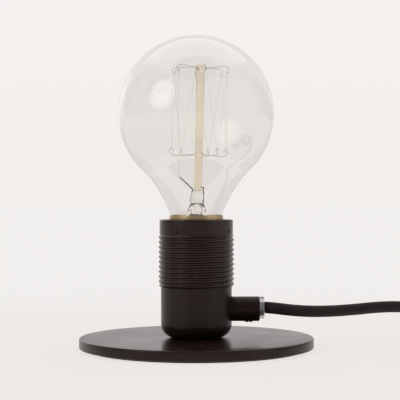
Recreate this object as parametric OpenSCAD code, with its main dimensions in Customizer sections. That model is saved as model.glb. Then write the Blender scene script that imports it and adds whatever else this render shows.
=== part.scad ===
// Bare bulb table lamp: a round steel foot, a threaded lampholder on a smooth cup, a cord that
// leaves sideways through a short tube, and a clear globe bulb with a squirrel cage filament.
// Millimetres, +Z up. The origin is the middle of the foot, on the table. +X points to the cord.

/* [Foot] */
// Diameter of the round steel plate
plate_d = 120; // [90:1:160]
// Thickness of the plate
plate_t = 5; // [4:0.5:8]
// Height of the broken edge on the plate's rims
plate_edge = 0.6; // [0.2:0.1:1]
// Diameter of the soft pad under the plate
pad_d = 112; // [80:1:118]
// Thickness of the soft pad
pad_t = 1; // [0.5:0.25:2]

/* [Fixing under the cup] */
// Outer diameter of the hollow threaded nipple
nipple_d = 10; // [8:1:12]
// Bore of the nipple
nipple_bore = 7; // [5:0.5:7.5]
// Length of the nipple that stands inside the cup, above its floor
nipple_stand = 2.2; // [1:0.2:3]
// Width across the flats of the hexagon nuts
nut_af = 14; // [13:0.5:16]
// Thickness of the hexagon nuts
nut_t = 2.6; // [2:0.2:3]
// Thickness of the toothed washer
washer_t = 0.6; // [0.4:0.1:0.8]

/* [Cup] */
// Outer diameter of the smooth cup
cup_d = 36.3; // [35:0.1:37]
// Height of the cup from the plate to the lower edge of the threaded shell
cup_h = 26; // [24:0.5:36]
// Radius of the cup's lower corner
cup_corner = 7; // [5:0.5:9]
// Wall of the cup
cup_wall = 1.4; // [1:0.1:1.6]
// Height of the cup's neck, inside the shell
neck_h = 6; // [4:0.5:8]

/* [Cord outlet] */
// Diameter of the outlet tube
outlet_d = 12.6; // [12:0.2:14]
// Height of the outlet's axis above the plate
outlet_z = 14.5; // [13:0.5:16]
// Distance from the lamp's axis to the outlet's end
outlet_reach = 32.3; // [30:0.5:45]
// Diameter of the outlet's threaded end, which passes the cup's wall
outlet_neck_d = 10; // [9.6:0.1:10.4]
// Bore for the clear bush
grip_bore = 9.4; // [9.2:0.1:10]
// Depth of the bore for the clear bush
grip_depth = 9; // [8:0.5:11]
// Diameter of the bush's flange
grip_flange_d = 11.2; // [10:0.2:12]
// Thickness of the bush's flange
grip_flange_t = 2.4; // [1.5:0.1:3]
// How far the clamp screw lifts the cord above the outlet's axis
cord_lift = 0.6; // [0:0.1:0.6]
// Head diameter of the clamp screw
clamp_head_d = 5.6; // [5:0.2:6]
// Distance from the outlet's end to the clamp screw
clamp_inset = 5.5; // [4:0.5:7]

/* [Threaded shell] */
// Height of the shell, from the cup's shoulder to the rim
shell_h = 34.4; // [33:0.2:37]
// Diameter over the shell's thread
thread_d = 38.7; // [38.2:0.1:39.5]
// Depth of the shell's thread
thread_depth = 0.6; // [0.4:0.05:0.8]
// Pitch of the shell's thread
thread_pitch = 2.5; // [2:0.25:3]
// Diameter of the smooth band above the thread
band_d = 37.7; // [37.5:0.1:38]
// Height of the smooth band
band_h = 7.5; // [6:0.5:9]
// Bore of the shell
shell_bore = 35; // [34.8:0.1:35.4]
// Inner diameter of the lip at the shell's rim
lip_d = 31.4; // [30:0.2:33]
// Thickness of the lip
lip_t = 1.2; // [0.8:0.1:1.6]
// Height of the rim's broken outer edge
rim_edge = 0.8; // [0.3:0.1:1]

/* [Lampholder] */
// Inner diameter of the ceramic above its floor
insert_bore = 29; // [28.6:0.1:30]
// Height of the ceramic's floor above the cup's neck
floor_h = 8; // [7:0.5:8]
// Length of the brass screw shell
screw_shell_h = 16; // [14:0.5:17]
// Wall of the brass screw shell
screw_shell_wall = 0.45; // [0.3:0.05:0.5]
// Clearance between the bulb's thread and the screw shell, all round
thread_clearance = 0.3; // [0.25:0.05:0.35]

/* [Bulb] */
// Diameter of the glass globe
globe_d = 80; // [70:1:95]
// Height of the globe's middle above the bulb's brass cap
globe_up = 52.2; // [50:0.1:60]
// Thickness of the glass
glass_t = 0.9; // [0.7:0.1:1.2]
// Outer diameter of the glass where it enters the brass cap
throat_d = 26; // [25.4:0.1:26.2]
// How far the brass cap stands out of the lampholder
cap_proud = 2.1; // [1:0.1:4]
// Diameter over the bulb's thread
screw_d = 26.2; // [26:0.05:26.3]
// Depth of the bulb's thread
screw_depth = 1; // [0.9:0.05:1.1]
// Pitch of the bulb's thread
screw_pitch = 3.63; // [3.5:0.01:3.7]
// Height of the bulb's brass cap with its insulator and contact
cap_h = 26.5; // [26:0.1:27]

/* [Filament mount] */
// Diameter of the glass rod
rod_d = 3.9; // [3:0.1:4.5]
// Length of the glass rod
rod_l = 64; // [55:0.5:66]
// Lean of the glass rod and of what it carries
rod_lean = 1.3; // [0:0.1:2]
// Number of upper hooks that carry the filament
hooks = 6; // [4:1:8]
// Radius of the ring of upper hooks
upper_r = 14.5; // [12:0.5:17]
// Radius of the ring of lower hooks
lower_r = 14.2; // [12:0.2:18]
// Height of the lower hooks above the press
lower_up = 18; // [14:0.5:24]
// Diameter of the support wires
hook_wire = 0.5; // [0.4:0.05:0.6]
// Diameter of the filament
filament_d = 0.25; // [0.2:0.05:0.3]

/* [Cord] */
// Diameter of the braided cord
cord_d = 6; // [5:0.1:6.2]

/* [Switch on the cord] */
// Length of the switch housing
switch_l = 62; // [60:1:64]
// Width of the switch housing
switch_w = 24; // [22:1:26]
// Height of the switch housing
switch_h = 17; // [16.5:0.5:18]
// Length of the rocker
rocker_l = 20; // [18:0.5:22]
// Width of the rocker
rocker_w = 10.6; // [9:0.2:12]
// Tilt of the rocker to each side
rocker_tilt = 7; // [5:0.5:8]

/* [Plug] */
// Width of the plug's face
plug_w = 35; // [34:0.5:36]
// Height of the plug's body
plug_h = 14; // [13.5:0.1:14]
// Length of the plug's body
plug_l = 34; // [30:1:38]
// Diameter of the plug's pins
pin_d = 4; // [4:0.05:4.1]
// Length of the plug's pins
pin_l = 19; // [18:0.5:20]
// Distance between the axes of the pins
pin_gap = 18.6; // [18:0.1:19.2]

/* [Hidden] */

$fn = 64;
cut = 0.5;                 // how far a cutting shape passes the face that it cuts
seat = 0.05;               // gap of a piece that is embedded, screwed in or fused
fit_gap = 0.1;             // radial clearance of a screw, pin or spigot in its hole

// Heights, from the table up
plate_z = pad_t + plate_t;
cup_floor_z = plate_z + cup_wall;
outlet_axis_z = plate_z + outlet_z;
shoulder_z = plate_z + cup_h;
neck_top_z = shoulder_z + neck_h;
insert_floor_z = neck_top_z + floor_h;
rim_z = shoulder_z + shell_h;
lip_z = rim_z - lip_t;
band_z = rim_z - band_h;
cap_top_z = rim_z + cap_proud;
contact_z = cap_top_z - cap_h;
globe_z = cap_top_z + globe_up;

// The cup and what goes through it
cup_r = cup_d / 2;
neck_r = (shell_bore - 2 * fit_gap) / 2;
neck_in_r = neck_r - cup_wall;
cup_in_r = cup_r - cup_wall;
counterbore_d = nut_af / cos(30) + 5;
counterbore_h = nut_t + washer_t;
boss_d = nut_af / cos(30) + 1;
boss_x = cup_in_r - 3.2;
outlet_bore = cord_d + 2 * cord_lift + 0.6;
clamp_x = outlet_reach - clamp_inset;
clamp_head_z = outlet_d / 2 + 0.65;
clamp_shank_d = 4;
grip_sleeve_d = cord_d + 2;
cord_z = outlet_axis_z + cord_lift;
cord_exit_x = outlet_reach + grip_flange_t;
inner_cord_x = 8;

// The ceramic insert and the contacts
insert_r = shell_bore / 2 - 0.3;
insert_foot_r = neck_in_r - 0.3;
insert_foot_z = neck_top_z - 3;
well_r = 9.8;
well_z = contact_z - 2;
terminal_w = 6.5;
terminal_h = 7.5;
terminal_y = [-7.2, 11];
flange_r = terminal_y[1];
flange_in_r = 9.9;
rivet_angles = [210, 330];
spring_t = 0.5;
spring_w = 5;
live_screw_d = 3;
live_head_d = 3.8;
shell_screw_d = 1.6;
shell_head_d = 2.2;
screw_bite = 3;            // how deep a contact screw goes into its terminal

// The bulb's brass cap
screw_r = screw_d / 2;
screw_root_r = screw_r - screw_depth;
skirt_r = screw_r + 0.7;
cap_wall = 0.35;
cap_foot_z = contact_z + 6;
screw_low_z = cap_foot_z + 1.2;
screw_high_z = cap_top_z - 6;
contact_r = 4.8;
contact_h = 2.6;
cap_lip_r = 10.7;

// The glass: the neck leaves the globe at a tangent and closes into the brass cap
globe_r = globe_d / 2;
tangent_angle = 44;
neck_waist_r = 19.8;
neck_waist_z = cap_top_z + 15.6;
neck_foot_z = cap_top_z - 4.5;

// The filament mount, in its own leaning frame whose floor is the top of the press
press_top_z = cap_top_z + 13;
press_h = 6.7;
press_w = 6.7;
press_t = 3.2;
press_x = 0.9;
stem_tube_r = 4.6;
stem_glass_t = 0.9;
hub_up = rod_l - 0.8;
hub_d = 5.2;
filament_bend = 0.6;
first_hook = 220;
eye_w = 0.9;
eye_h = 1.5;
lead_tips = [[-9.7, 0, 6.9], [1.8, -6, 1.6]];

// The route of the cord: chosen points, [along, back, up]
lead_route = [[34.7, 0, 21.1], [40, 0.5, 20.7], [50, 2.5, 19.4], [60, 5.5, 18.6], [71, 9.5, 18.4],
    [83, 14, 18.8], [95, 18, 19.5], [107, 21.5, 19.5], [118, 25.8, 18], [128, 31.4, 15.6],
    [138, 38, 12.8], [146, 42.8, 10.8], [152, 45.8, 9.5], [158, 47, 9]];
link_route = [[220, 47, 9], [227, 46.6, 8.7], [238, 44, 6.8], [249, 37.5, 4.8], [258, 28, 3.6],
    [264.5, 16, 3.2], [268, 3.5, 3.2], [268.6, -8, 3.2]];
tail_route = [[218, -58.6, 9.8], [211, -57.7, 9.6], [204, -55, 9], [200, -52.4, 8.5],
    [196, -49.6, 7.9], [189, -46.9, 7.2], [182, -46, 7]];
cord_sides = 10;

// The coil: one tube that spirals in, climbs a layer and spirals out again
coil_centre = [224, -14];
coil_out_r = 44.6;
coil_z = 3.2;
coil_step = 6.6;
coil_turns = 6.25;
coil_rings = 24;
coil_sides = 6;
coil_climb = 0.5;

// The switch stands where the lead ends, the plug where the tail ends
switch_at = [lead_route[13].x, lead_route[13].y, 0];
switch_split = 9;
switch_round = 8;
switch_wall = 2;
cavity_l = 32;
rocker_up = 13.2;
rocker_rise = 4.2;
rocker_drop = 1.2;
rocker_gap = 0.4;
axle_d = 3;
cheek_t = 2;
switch_screw_x = [9, switch_l - 9];
plug_at = tail_route[6];
sleeve_l = 20;
sleeve_d = [9, 12];
pin_sleeve_l = 10;

// ---- Helpers ----

function unit(v) = v / norm(v);

// Direction of a path at point i, halfway between its two neighbouring runs
function heading(path, i) =
    i == 0 ? unit(path[1] - path[0])
    : i == len(path) - 1 ? unit(path[i] - path[i - 1])
    : unit(unit(path[i] - path[i - 1]) + unit(path[i + 1] - path[i]));

// Corners of one ring of a swept tube: centre, direction, a vector beside it, radius and sides
function ring(centre, along, beside, r, sides) =
    let (across = unit(cross(beside, along)), up = cross(along, across))
    [for (k = [0 : sides - 1])
        centre + r * (cos(360 * k / sides) * across + sin(360 * k / sides) * up)];

// Faces of a skin over rows of corners, closed by a flat cap at each end
function skin_faces(rows, sides) = concat(
    [[for (k = [0 : sides - 1]) k]],
    [for (j = [0 : rows - 2]) for (k = [0 : sides - 1])
        [j * sides + k, (j + 1) * sides + k, (j + 1) * sides + (k + 1) % sides]],
    [for (j = [0 : rows - 2]) for (k = [0 : sides - 1])
        [j * sides + k, (j + 1) * sides + (k + 1) % sides, j * sides + (k + 1) % sides]],
    [[for (k = [sides - 1 : -1 : 0]) (rows - 1) * sides + k]]);

// A tube along a path. beside holds one vector for each point, never along the path there.
// first and last, if given, are the directions of the end faces.
module tube(path, d, sides, beside, first = undef, last = undef) {
    end = len(path) - 1;
    rings = [for (i = [0 : end])
        let (along = i == 0 && first != undef ? first
            : i == end && last != undef ? last : heading(path, i))
        ring(path[i], along, beside[i], d / 2, sides)];
    polyhedron([for (r = rings) for (p = r) p], skin_faces(end + 1, sides), convexity = 10);
}

// A wire through a few points in a plane, whose normal is beside
module wire(path, d, beside = [0, 1, 0]) {
    tube(path, d, 6, [for (p = path) beside]);
}

// A rod with a right-hand thread on it, from low to high, that fades to its root at the ends.
// turned is the angle at which a crest passes height zero.
module threaded_rod(root_r, depth, pitch, low, high, sides, turned = 0, fade_low = 0, fade_high = 0) {
    rows = ceil((high - low) / pitch * 5);
    function fade(z) = max(0, min(1, fade_low > 0 ? (z - low) / fade_low : 1,
        fade_high > 0 ? (high - z) / fade_high : 1));
    function crest(a, z) = max(-1, min(1, 1.5 * cos(360 * z / pitch - a + turned)));
    polyhedron([for (j = [0 : rows]) let (z = low + (high - low) * j / rows)
        for (k = [0 : sides - 1]) let (a = 360 * k / sides)
            let (r = root_r + depth * fade(z) * (1 + crest(a, z)) / 2)
            [r * cos(a), r * sin(a), z]],
        skin_faces(rows + 1, sides), convexity = 10);
}

// A disc with broken edges on its rims
module edged_disc(d, t, edge) {
    r = d / 2;
    rotate_extrude($fn = 128) polygon([[0, 0], [r - edge, 0], [r - edge * 0.3, edge * 0.3],
        [r, edge], [r, t - edge], [r - edge * 0.3, t - edge * 0.3], [r - edge, t], [0, t]]);
}

module hex_nut(af, t, bore) {
    difference() {
        intersection() {
            cylinder(h = t, d = af / cos(30), $fn = 6);
            edged_disc(af / cos(30) - 0.2, t, 0.5);
        }
        translate([0, 0, -cut]) cylinder(h = t + 2 * cut, d = bore);
    }
}

// A slotted cheese-head screw that points down, with its head's seat at height zero
module slotted_screw(d, l, head_d, head_h) {
    difference() {
        union() {
            translate([0, 0, -l]) cylinder(h = l + head_h / 2, d = d, $fn = 24);
            cylinder(h = head_h, d = head_d, $fn = 32);
        }
        translate([-head_d, -0.4, head_h / 2]) cube([2 * head_d, 0.8, head_h]);
    }
}

// ---- Foot ----

module base_pad() {
    color("dimgray") difference() {
        cylinder(h = pad_t, d = pad_d, $fn = 96);
        translate([0, 0, -cut]) cylinder(h = pad_t + 2 * cut, d = counterbore_d);
    }
}

module base_plate() {
    color([0.16, 0.13, 0.12]) difference() {
        translate([0, 0, pad_t]) edged_disc(plate_d, plate_t, plate_edge);
        translate([0, 0, pad_t - cut]) cylinder(h = plate_t + 2 * cut, d = nipple_d + 2 * fit_gap);
        translate([0, 0, pad_t - cut]) cylinder(h = counterbore_h + cut, d = counterbore_d);
    }
}

module base_nut() {
    color("silver") translate([0, 0, pad_t]) hex_nut(nut_af, nut_t, nipple_d + 2 * seat);
}

module lock_washer() {
    teeth = 12;
    outer_r = nut_af / 2 + 1;
    color("gray") translate([0, 0, pad_t + nut_t]) difference() {
        cylinder(h = washer_t, r = outer_r);
        translate([0, 0, -cut]) cylinder(h = washer_t + 2 * cut, d = nipple_d + 2 * fit_gap);
        for (a = [0 : 360 / teeth : 359]) rotate(a) translate([outer_r, 0, -cut])
            cylinder(h = washer_t + 2 * cut, r = 0.9, $fn = 16);
    }
}

module base_nipple() {
    color("goldenrod") translate([0, 0, pad_t + 0.4]) difference() {
        cylinder(h = cup_floor_z + nipple_stand - pad_t - 0.4, d = nipple_d);
        translate([0, 0, -cut])
            cylinder(h = cup_floor_z + nipple_stand - pad_t + 2 * cut, d = nipple_bore);
    }
}

// ---- Cup and cord outlet ----

// Outline of the cup's outside or inside: a rounded lower corner, then a straight wall
function cup_outline(r, corner, low, high) = concat([[0, low]],
    [for (a = [0 : 7.5 : 90]) [r - corner + corner * sin(a), low + corner - corner * cos(a)]],
    [[r, high], [0, high]]);

module lower_cap() {
    color([0.15, 0.12, 0.11]) difference() {
        union() {
            rotate_extrude($fn = 96) difference() {
                union() {
                    polygon(cup_outline(cup_r, cup_corner, plate_z, shoulder_z));
                    translate([0, shoulder_z - 1]) square([neck_r, neck_h + 1]);
                }
                polygon(cup_outline(cup_in_r, cup_corner - cup_wall, cup_floor_z, shoulder_z - 1.5));
                translate([0, shoulder_z - 2]) square([neck_in_r, neck_h + 3]);
            }
            translate([boss_x, 0, outlet_axis_z]) rotate([0, 90, 0])
                cylinder(h = cup_in_r - boss_x + cup_wall / 2 - 1.6, d = boss_d);
            translate([0, 0, cup_floor_z - cup_wall / 2])
                cylinder(h = cup_wall / 2 + 1, d = nipple_d + 4);
        }
        translate([0, 0, plate_z - cut]) cylinder(h = cup_wall + 4, d = nipple_d + 2 * seat);
        translate([boss_x - cut, 0, outlet_axis_z]) rotate([0, 90, 0])
            cylinder(h = cup_r, d = outlet_neck_d + 2 * seat);
    }
}

module outlet_tube() {
    color([0.18, 0.15, 0.15]) translate([0, 0, outlet_axis_z]) difference() {
        union() {
            difference() {
                rotate([0, 90, 0]) cylinder(h = outlet_reach - 0.4, d = outlet_d);
                translate([0, 0, -outlet_d]) cylinder(h = 2 * outlet_d, r = cup_r + seat, $fn = 96);
            }
            translate([outlet_reach - 0.4, 0, 0]) rotate([0, 90, 0])
                cylinder(h = 0.4, d1 = outlet_d, d2 = outlet_d - 0.8);
            translate([boss_x - nut_t - 1, 0, 0]) rotate([0, 90, 0])
                cylinder(h = cup_r + 3 - boss_x + nut_t, d = outlet_neck_d);
        }
        translate([boss_x - nut_t - 1 - cut, 0, 0]) rotate([0, 90, 0])
            cylinder(h = outlet_reach, d = outlet_bore);
        translate([outlet_reach - grip_depth, 0, 0]) rotate([0, 90, 0])
            cylinder(h = grip_depth + cut, d = grip_bore);
        translate([clamp_x, 0, -outlet_d]) cylinder(h = outlet_d, d = clamp_shank_d + 2 * seat);
        translate([clamp_x, 0, -outlet_d])
            cylinder(h = outlet_d / 2 + 0.9, d = clamp_head_d + 2 * fit_gap);
    }
}

module outlet_nut() {
    color("goldenrod") translate([boss_x - nut_t, 0, outlet_axis_z]) rotate([0, 90, 0])
        hex_nut(nut_af, nut_t, outlet_neck_d + 2 * seat);
}

// The screw under the outlet: a domed head, and a shank whose flat tip presses on the bush
module clamp_screw() {
    tip_z = cord_lift - grip_sleeve_d / 2 - seat;
    seat_z = -outlet_d / 2 + 0.9;
    dome_r = 5;
    color([0.14, 0.12, 0.11]) translate([clamp_x, 0, outlet_axis_z]) difference() {
        union() {
            translate([0, 0, seat_z - 0.4]) cylinder(h = tip_z - seat_z + 0.4, d = clamp_shank_d);
            intersection() {
                translate([0, 0, -clamp_head_z]) cylinder(h = seat_z + clamp_head_z, d = clamp_head_d);
                translate([0, 0, -clamp_head_z + dome_r]) sphere(r = dome_r);
            }
        }
        translate([-0.4, -clamp_head_d, -clamp_head_z - cut]) cube([0.8, 2 * clamp_head_d, 0.7 + cut]);
    }
}

module cord_grip() {
    color([0.85, 0.85, 0.82, 0.6]) translate([0, 0, cord_z]) difference() {
        union() {
            translate([outlet_reach - grip_depth + 0.5, 0, 0]) rotate([0, 90, 0])
                cylinder(h = grip_depth, d = grip_sleeve_d);
            translate([outlet_reach, 0, 0]) rotate([0, 90, 0])
                cylinder(h = grip_flange_t / 2, d = grip_flange_d);
            translate([outlet_reach + grip_flange_t / 2, 0, 0]) rotate([0, 90, 0])
                cylinder(h = grip_flange_t / 2, d1 = grip_flange_d, d2 = grip_flange_d - 1.2);
        }
        translate([outlet_reach - grip_depth, 0, 0]) rotate([0, 90, 0])
            cylinder(h = grip_depth + grip_flange_t + cut, d = cord_d + 2 * seat);
    }
}

// ---- Threaded shell ----

// A short upright notch that a crimping tool leaves in the band
module crimp_dent() {
    hull() for (z = [-0.5, 0.5]) translate([0, 0, z]) sphere(r = 0.9, $fn = 24);
}

module upper_shell() {
    thread_root_r = thread_d / 2 - thread_depth;
    color([0.16, 0.13, 0.12]) difference() {
        union() {
            threaded_rod(thread_root_r, thread_depth, thread_pitch, shoulder_z, band_z + 1, 40,
                turned = 215, fade_low = 0.8, fade_high = 2.2);
            translate([0, 0, band_z]) cylinder(h = rim_z - rim_edge - band_z, d = band_d, $fn = 96);
            translate([0, 0, rim_z - rim_edge])
                cylinder(h = rim_edge, d1 = band_d, d2 = band_d - 2 * rim_edge, $fn = 96);
        }
        translate([0, 0, shoulder_z - cut])
            cylinder(h = lip_z - shoulder_z + cut, d = shell_bore, $fn = 96);
        translate([0, 0, lip_z - cut]) cylinder(h = lip_t + 2 * cut, d = lip_d, $fn = 96);
        for (a = [-30 : 90 : 330]) rotate(a) translate([band_d / 2 + 0.35, 0, band_z + 1.5]) crimp_dent();
    }
}

// ---- Lampholder ----

module socket_insert() {
    color("ivory") difference() {
        rotate_extrude() polygon([[0, insert_foot_z], [insert_foot_r, insert_foot_z],
            [insert_foot_r, neck_top_z], [insert_r, neck_top_z], [insert_r, lip_z],
            [insert_bore / 2 + 0.8, lip_z], [insert_bore / 2, lip_z - 0.8],
            [insert_bore / 2, insert_floor_z], [well_r, insert_floor_z], [well_r, well_z], [0, well_z]]);
        translate([0, terminal_y[0], insert_foot_z - cut])
            cylinder(h = insert_floor_z - insert_foot_z, d = live_screw_d + 2 * fit_gap, $fn = 24);
        translate([0, terminal_y[1], insert_foot_z - cut])
            cylinder(h = insert_floor_z - insert_foot_z + 2 * cut, d = shell_screw_d + 2 * fit_gap, $fn = 24);
        for (a = rivet_angles) rotate(a) translate([flange_r, 0, insert_floor_z - 4])
            cylinder(h = 4 + cut, d = shell_screw_d + 2 * seat, $fn = 24);
    }
}

// The brass sleeve that the bulb screws into, rolled from sheet, with a flange on the ceramic
module screw_shell() {
    root_r = screw_root_r + thread_clearance;
    low = insert_floor_z;
    high = low + screw_shell_h;
    color("goldenrod") difference() {
        threaded_rod(root_r + screw_shell_wall, screw_depth, screw_pitch, low, high, 32);
        threaded_rod(root_r, screw_depth, screw_pitch, low + screw_shell_wall, high + 1.2, 32);
        translate([0, 0, low - cut]) cylinder(h = 2, r = flange_in_r);
        for (a = concat(rivet_angles, [90])) rotate(a) translate([flange_r, 0, low - cut])
            cylinder(h = 2 * cut + screw_shell_wall, d = shell_screw_d + 2 * fit_gap, $fn = 24);
    }
}

module shell_rivets() {
    color("silver") for (a = rivet_angles) rotate(a)
        translate([flange_r, 0, insert_floor_z + screw_shell_wall]) {
            translate([0, 0, -4]) cylinder(h = 4.2, d = shell_screw_d, $fn = 24);
            cylinder(h = 0.5, d = shell_head_d, $fn = 24);
        }
}

// A strip screwed down in the well, bent up to a tongue under the bulb's contact
module contact_spring() {
    top = contact_z - fit_gap;
    bend = terminal_y[0] + live_head_d / 2 + 0.2;
    color("peru") difference() {
        translate([-spring_w / 2, 0, 0]) rotate([90, 0, 90]) linear_extrude(spring_w) polygon([
            [-9.2, well_z], [bend + 0.4, well_z], [-3, top - spring_t], [3, top - spring_t],
            [5, top - 1], [5, top - 0.5], [3.2, top], [-3.2, top], [bend, well_z + spring_t],
            [-9.2, well_z + spring_t]]);
        translate([0, terminal_y[0], well_z - cut]) cylinder(h = 2, d = live_screw_d + 2 * seat, $fn = 24);
    }
}

module contact_screw() {
    color("silver") translate([0, terminal_y[0], well_z + spring_t])
        slotted_screw(live_screw_d, well_z + spring_t - insert_foot_z + screw_bite, live_head_d, 1.2);
}

module neutral_screw() {
    seat_z = insert_floor_z + screw_shell_wall;
    color("silver") translate([0, terminal_y[1], seat_z])
        slotted_screw(shell_screw_d, seat_z - insert_foot_z + screw_bite, shell_head_d, 0.8);
}

module terminal(y, screw_d) {
    translate([-terminal_w / 2, y - terminal_w / 2, insert_foot_z - terminal_h]) difference() {
        cube([terminal_w, terminal_w, terminal_h]);
        translate([terminal_w / 2, terminal_w / 2, terminal_h - screw_bite - cut])
            cylinder(h = screw_bite + 2 * cut, d = screw_d + 2 * seat, $fn = 24);
        translate([terminal_w / 2, terminal_w / 2, -cut]) cylinder(h = 3.5, d = 2.4, $fn = 24);
        translate([-cut, terminal_w / 2, 2]) rotate([0, 90, 0])
            cylinder(h = terminal_w / 2, d = 2.5, $fn = 24);
    }
}

module terminal_live() {
    color("goldenrod") terminal(terminal_y[0], live_screw_d);
}

module terminal_neutral() {
    color("goldenrod") terminal(terminal_y[1], shell_screw_d);
}

module terminal_screws() {
    color("silver") for (y = [terminal_y[0], terminal_y[1]])
        translate([-terminal_w / 2, y, insert_foot_z - terminal_h + 2]) rotate([0, -90, 0])
            slotted_screw(2.4, 1.8, 4, 1.6);
}

module inner_cord() {
    color([0.14, 0.12, 0.11]) translate([inner_cord_x, 0, cord_z]) rotate([0, 90, 0])
        cylinder(h = cord_exit_x - inner_cord_x, d = cord_d);
}

// Two insulated wires from the end of the braid up into the terminals
module conductors() {
    end_z = insert_foot_z - terminal_h - seat;
    color("saddlebrown") wire_to(-1, terminal_y[0], end_z);
    color("steelblue") wire_to(1, terminal_y[1], end_z);
}

module wire_to(side, y, end_z) {
    path = [[inner_cord_x - seat, side * 1.4, cord_z], [inner_cord_x - 3, side * 1.8, cord_z],
        [inner_cord_x - 5.5, side * 3, cord_z + 0.6], [1, y * 0.65, cord_z + 2],
        [0, y, cord_z + 4.5], [0, y, end_z]];
    tube(path, 2.2, 8, [for (p = path) [1, side, -1]], first = [-1, 0, 0], last = [0, 0, 1]);
}

// ---- Bulb: cap ----

module solder_contact() {
    color("silver") rotate_extrude() polygon([[0, contact_z], [contact_r * 0.52, contact_z + 0.1],
        [contact_r * 0.88, contact_z + 0.5], [contact_r, contact_z + 1.2],
        [contact_r, contact_z + contact_h], [0, contact_z + contact_h]]);
}

module cap_insulator() {
    hole_r = contact_r + fit_gap;
    inside_r = screw_root_r - cap_wall - 0.15;
    foot_r = hole_r + 0.7;
    color([0.08, 0.07, 0.1]) rotate_extrude() polygon([[hole_r, contact_z + 0.6],
        [foot_r, contact_z + 0.6], [(foot_r + cap_lip_r) / 2, (contact_z + cap_foot_z) / 2],
        [cap_lip_r - 1.2, cap_foot_z - 0.6], [cap_lip_r, cap_foot_z + 0.4],
        [inside_r, cap_foot_z + 1.5], [inside_r, cap_foot_z + 3], [hole_r, cap_foot_z + 3]]);
}

module cap_shell() {
    inner_r = screw_root_r - cap_wall;
    join_r = screw_root_r - 0.15;
    flare_z = screw_high_z + 0.4;
    color("goldenrod") difference() {
        union() {
            threaded_rod(screw_root_r, screw_depth, screw_pitch, screw_low_z, screw_high_z, 32,
                fade_low = 0.8, fade_high = 0.8);
            rotate_extrude() polygon([[0, cap_foot_z], [cap_lip_r + cap_wall, cap_foot_z],
                [join_r, screw_low_z - 0.2], [join_r, flare_z], [skirt_r - 0.2, flare_z + 1.4],
                [skirt_r, cap_top_z], [0, cap_top_z]]);
        }
        rotate_extrude() polygon([[0, cap_foot_z - cut], [cap_lip_r + fit_gap, cap_foot_z - cut],
            [cap_lip_r + fit_gap, cap_foot_z + 0.4], [inner_r, cap_foot_z + 1.4], [inner_r, flare_z],
            [skirt_r - 0.2 - cap_wall, flare_z + 1.5], [skirt_r - cap_wall, cap_top_z + cut],
            [0, cap_top_z + cut]]);
    }
}

// ---- Bulb: glass and filament mount ----

// Outline of the globe's glass, from its top down to the end of its neck, at a depth t in the
// glass: the globe's arc, a tangent run, a soft waist and the throat in the brass cap
function glass_outline(t) =
    let (r = globe_r - t, top = [r * sin(tangent_angle), globe_z - r * cos(tangent_angle)],
        waist = [neck_waist_r - 1.2 * t, neck_waist_z], throat = [throat_d / 2 - t, cap_top_z],
        above = waist + 0.97 * (top - waist), below = waist + 0.8 * (throat - waist))
    concat([for (a = [180 : -5 : tangent_angle]) [r * sin(a), globe_z - r * cos(a)]],
        [for (s = [0 : 0.125 : 1])
            (1 - s) * (1 - s) * above + 2 * s * (1 - s) * waist + s * s * below],
        [throat, [throat_d / 2 - 0.5 - t, neck_foot_z]]);

module bulb_glass() {
    outside = glass_outline(0);
    inside = glass_outline(glass_t);
    color([0.9, 0.9, 0.86, 0.3]) rotate_extrude($fn = 96)
        polygon(concat(outside, [for (i = [len(inside) - 1 : -1 : 0]) inside[i]]));
}

// Moves what the stem carries into its leaning frame, and gives a point of that frame
module leaning() {
    translate([press_x, 0, press_top_z]) rotate([0, rod_lean, 0]) children();
}

function leaned(p) = [press_x + p.x * cos(rod_lean) + p.z * sin(rod_lean), p.y,
    press_top_z - p.x * sin(rod_lean) + p.z * cos(rod_lean)];

module stem_flare() {
    rim_r = throat_d / 2 - 0.5 - glass_t - 0.3;
    rim_up = neck_foot_z - press_top_z + 0.5;
    tube_top = -press_h;
    stem_lean = atan(press_x / -rim_up);
    tube_in_r = stem_tube_r - stem_glass_t;
    bell_out = [[stem_tube_r, rim_up + 5], [stem_tube_r + 0.9, rim_up + 3],
        [stem_tube_r + 3, rim_up + 1.2], [rim_r, rim_up]];
    bell_in = [[rim_r, rim_up - stem_glass_t], [stem_tube_r + 2.6, rim_up + 0.3],
        [stem_tube_r + 0.1, rim_up + 2.4], [tube_in_r, rim_up + 4.6]];
    color([0.88, 0.9, 0.86, 0.4])
        translate([press_x, 0, press_top_z]) rotate([0, stem_lean, 0]) union() {
            rotate_extrude() polygon(concat([[0, tube_top + 0.6], [tube_in_r, tube_top + 0.6],
                [stem_tube_r, tube_top - 0.6]], bell_out, bell_in,
                [[tube_in_r, tube_top - stem_glass_t], [0, tube_top - stem_glass_t]]));
            intersection() {
                translate([-press_w / 2, -press_t / 2, tube_top]) cube([press_w, press_t, press_h]);
                translate([0, 0, tube_top - 1]) cylinder(h = press_h + 2, d = press_w + 0.3);
            }
        }
}

module glass_rod() {
    r = rod_d / 2;
    collar_r = r + 0.6;
    color([0.9, 0.87, 0.75, 0.6]) leaning() rotate_extrude($fn = 48) polygon([[0, 0.1], [r, 0.1],
        [r, lower_up - 1.5], [collar_r, lower_up - 0.8], [collar_r, lower_up + 0.8], [r, lower_up + 1.5],
        [r, hub_up - 2], [hub_d / 2, hub_up - 1.2], [hub_d / 2, hub_up + 0.4], [r, rod_l], [0, rod_l]]);
}

// A support wire: an arm out of the rod, ending in an open pigtail eye that holds the filament.
// The eye hangs below the arm where side is -1, and stands above it where side is 1.
module hook(root, reach, up, side) {
    wire(concat([[root, 0, up], [reach - eye_w - 0.6, 0, up]], [for (a = [-90 : 45 : 180])
        [reach + eye_w * cos(a), 0, up + side * eye_h * (1 + sin(a))]]), hook_wire);
}

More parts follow.
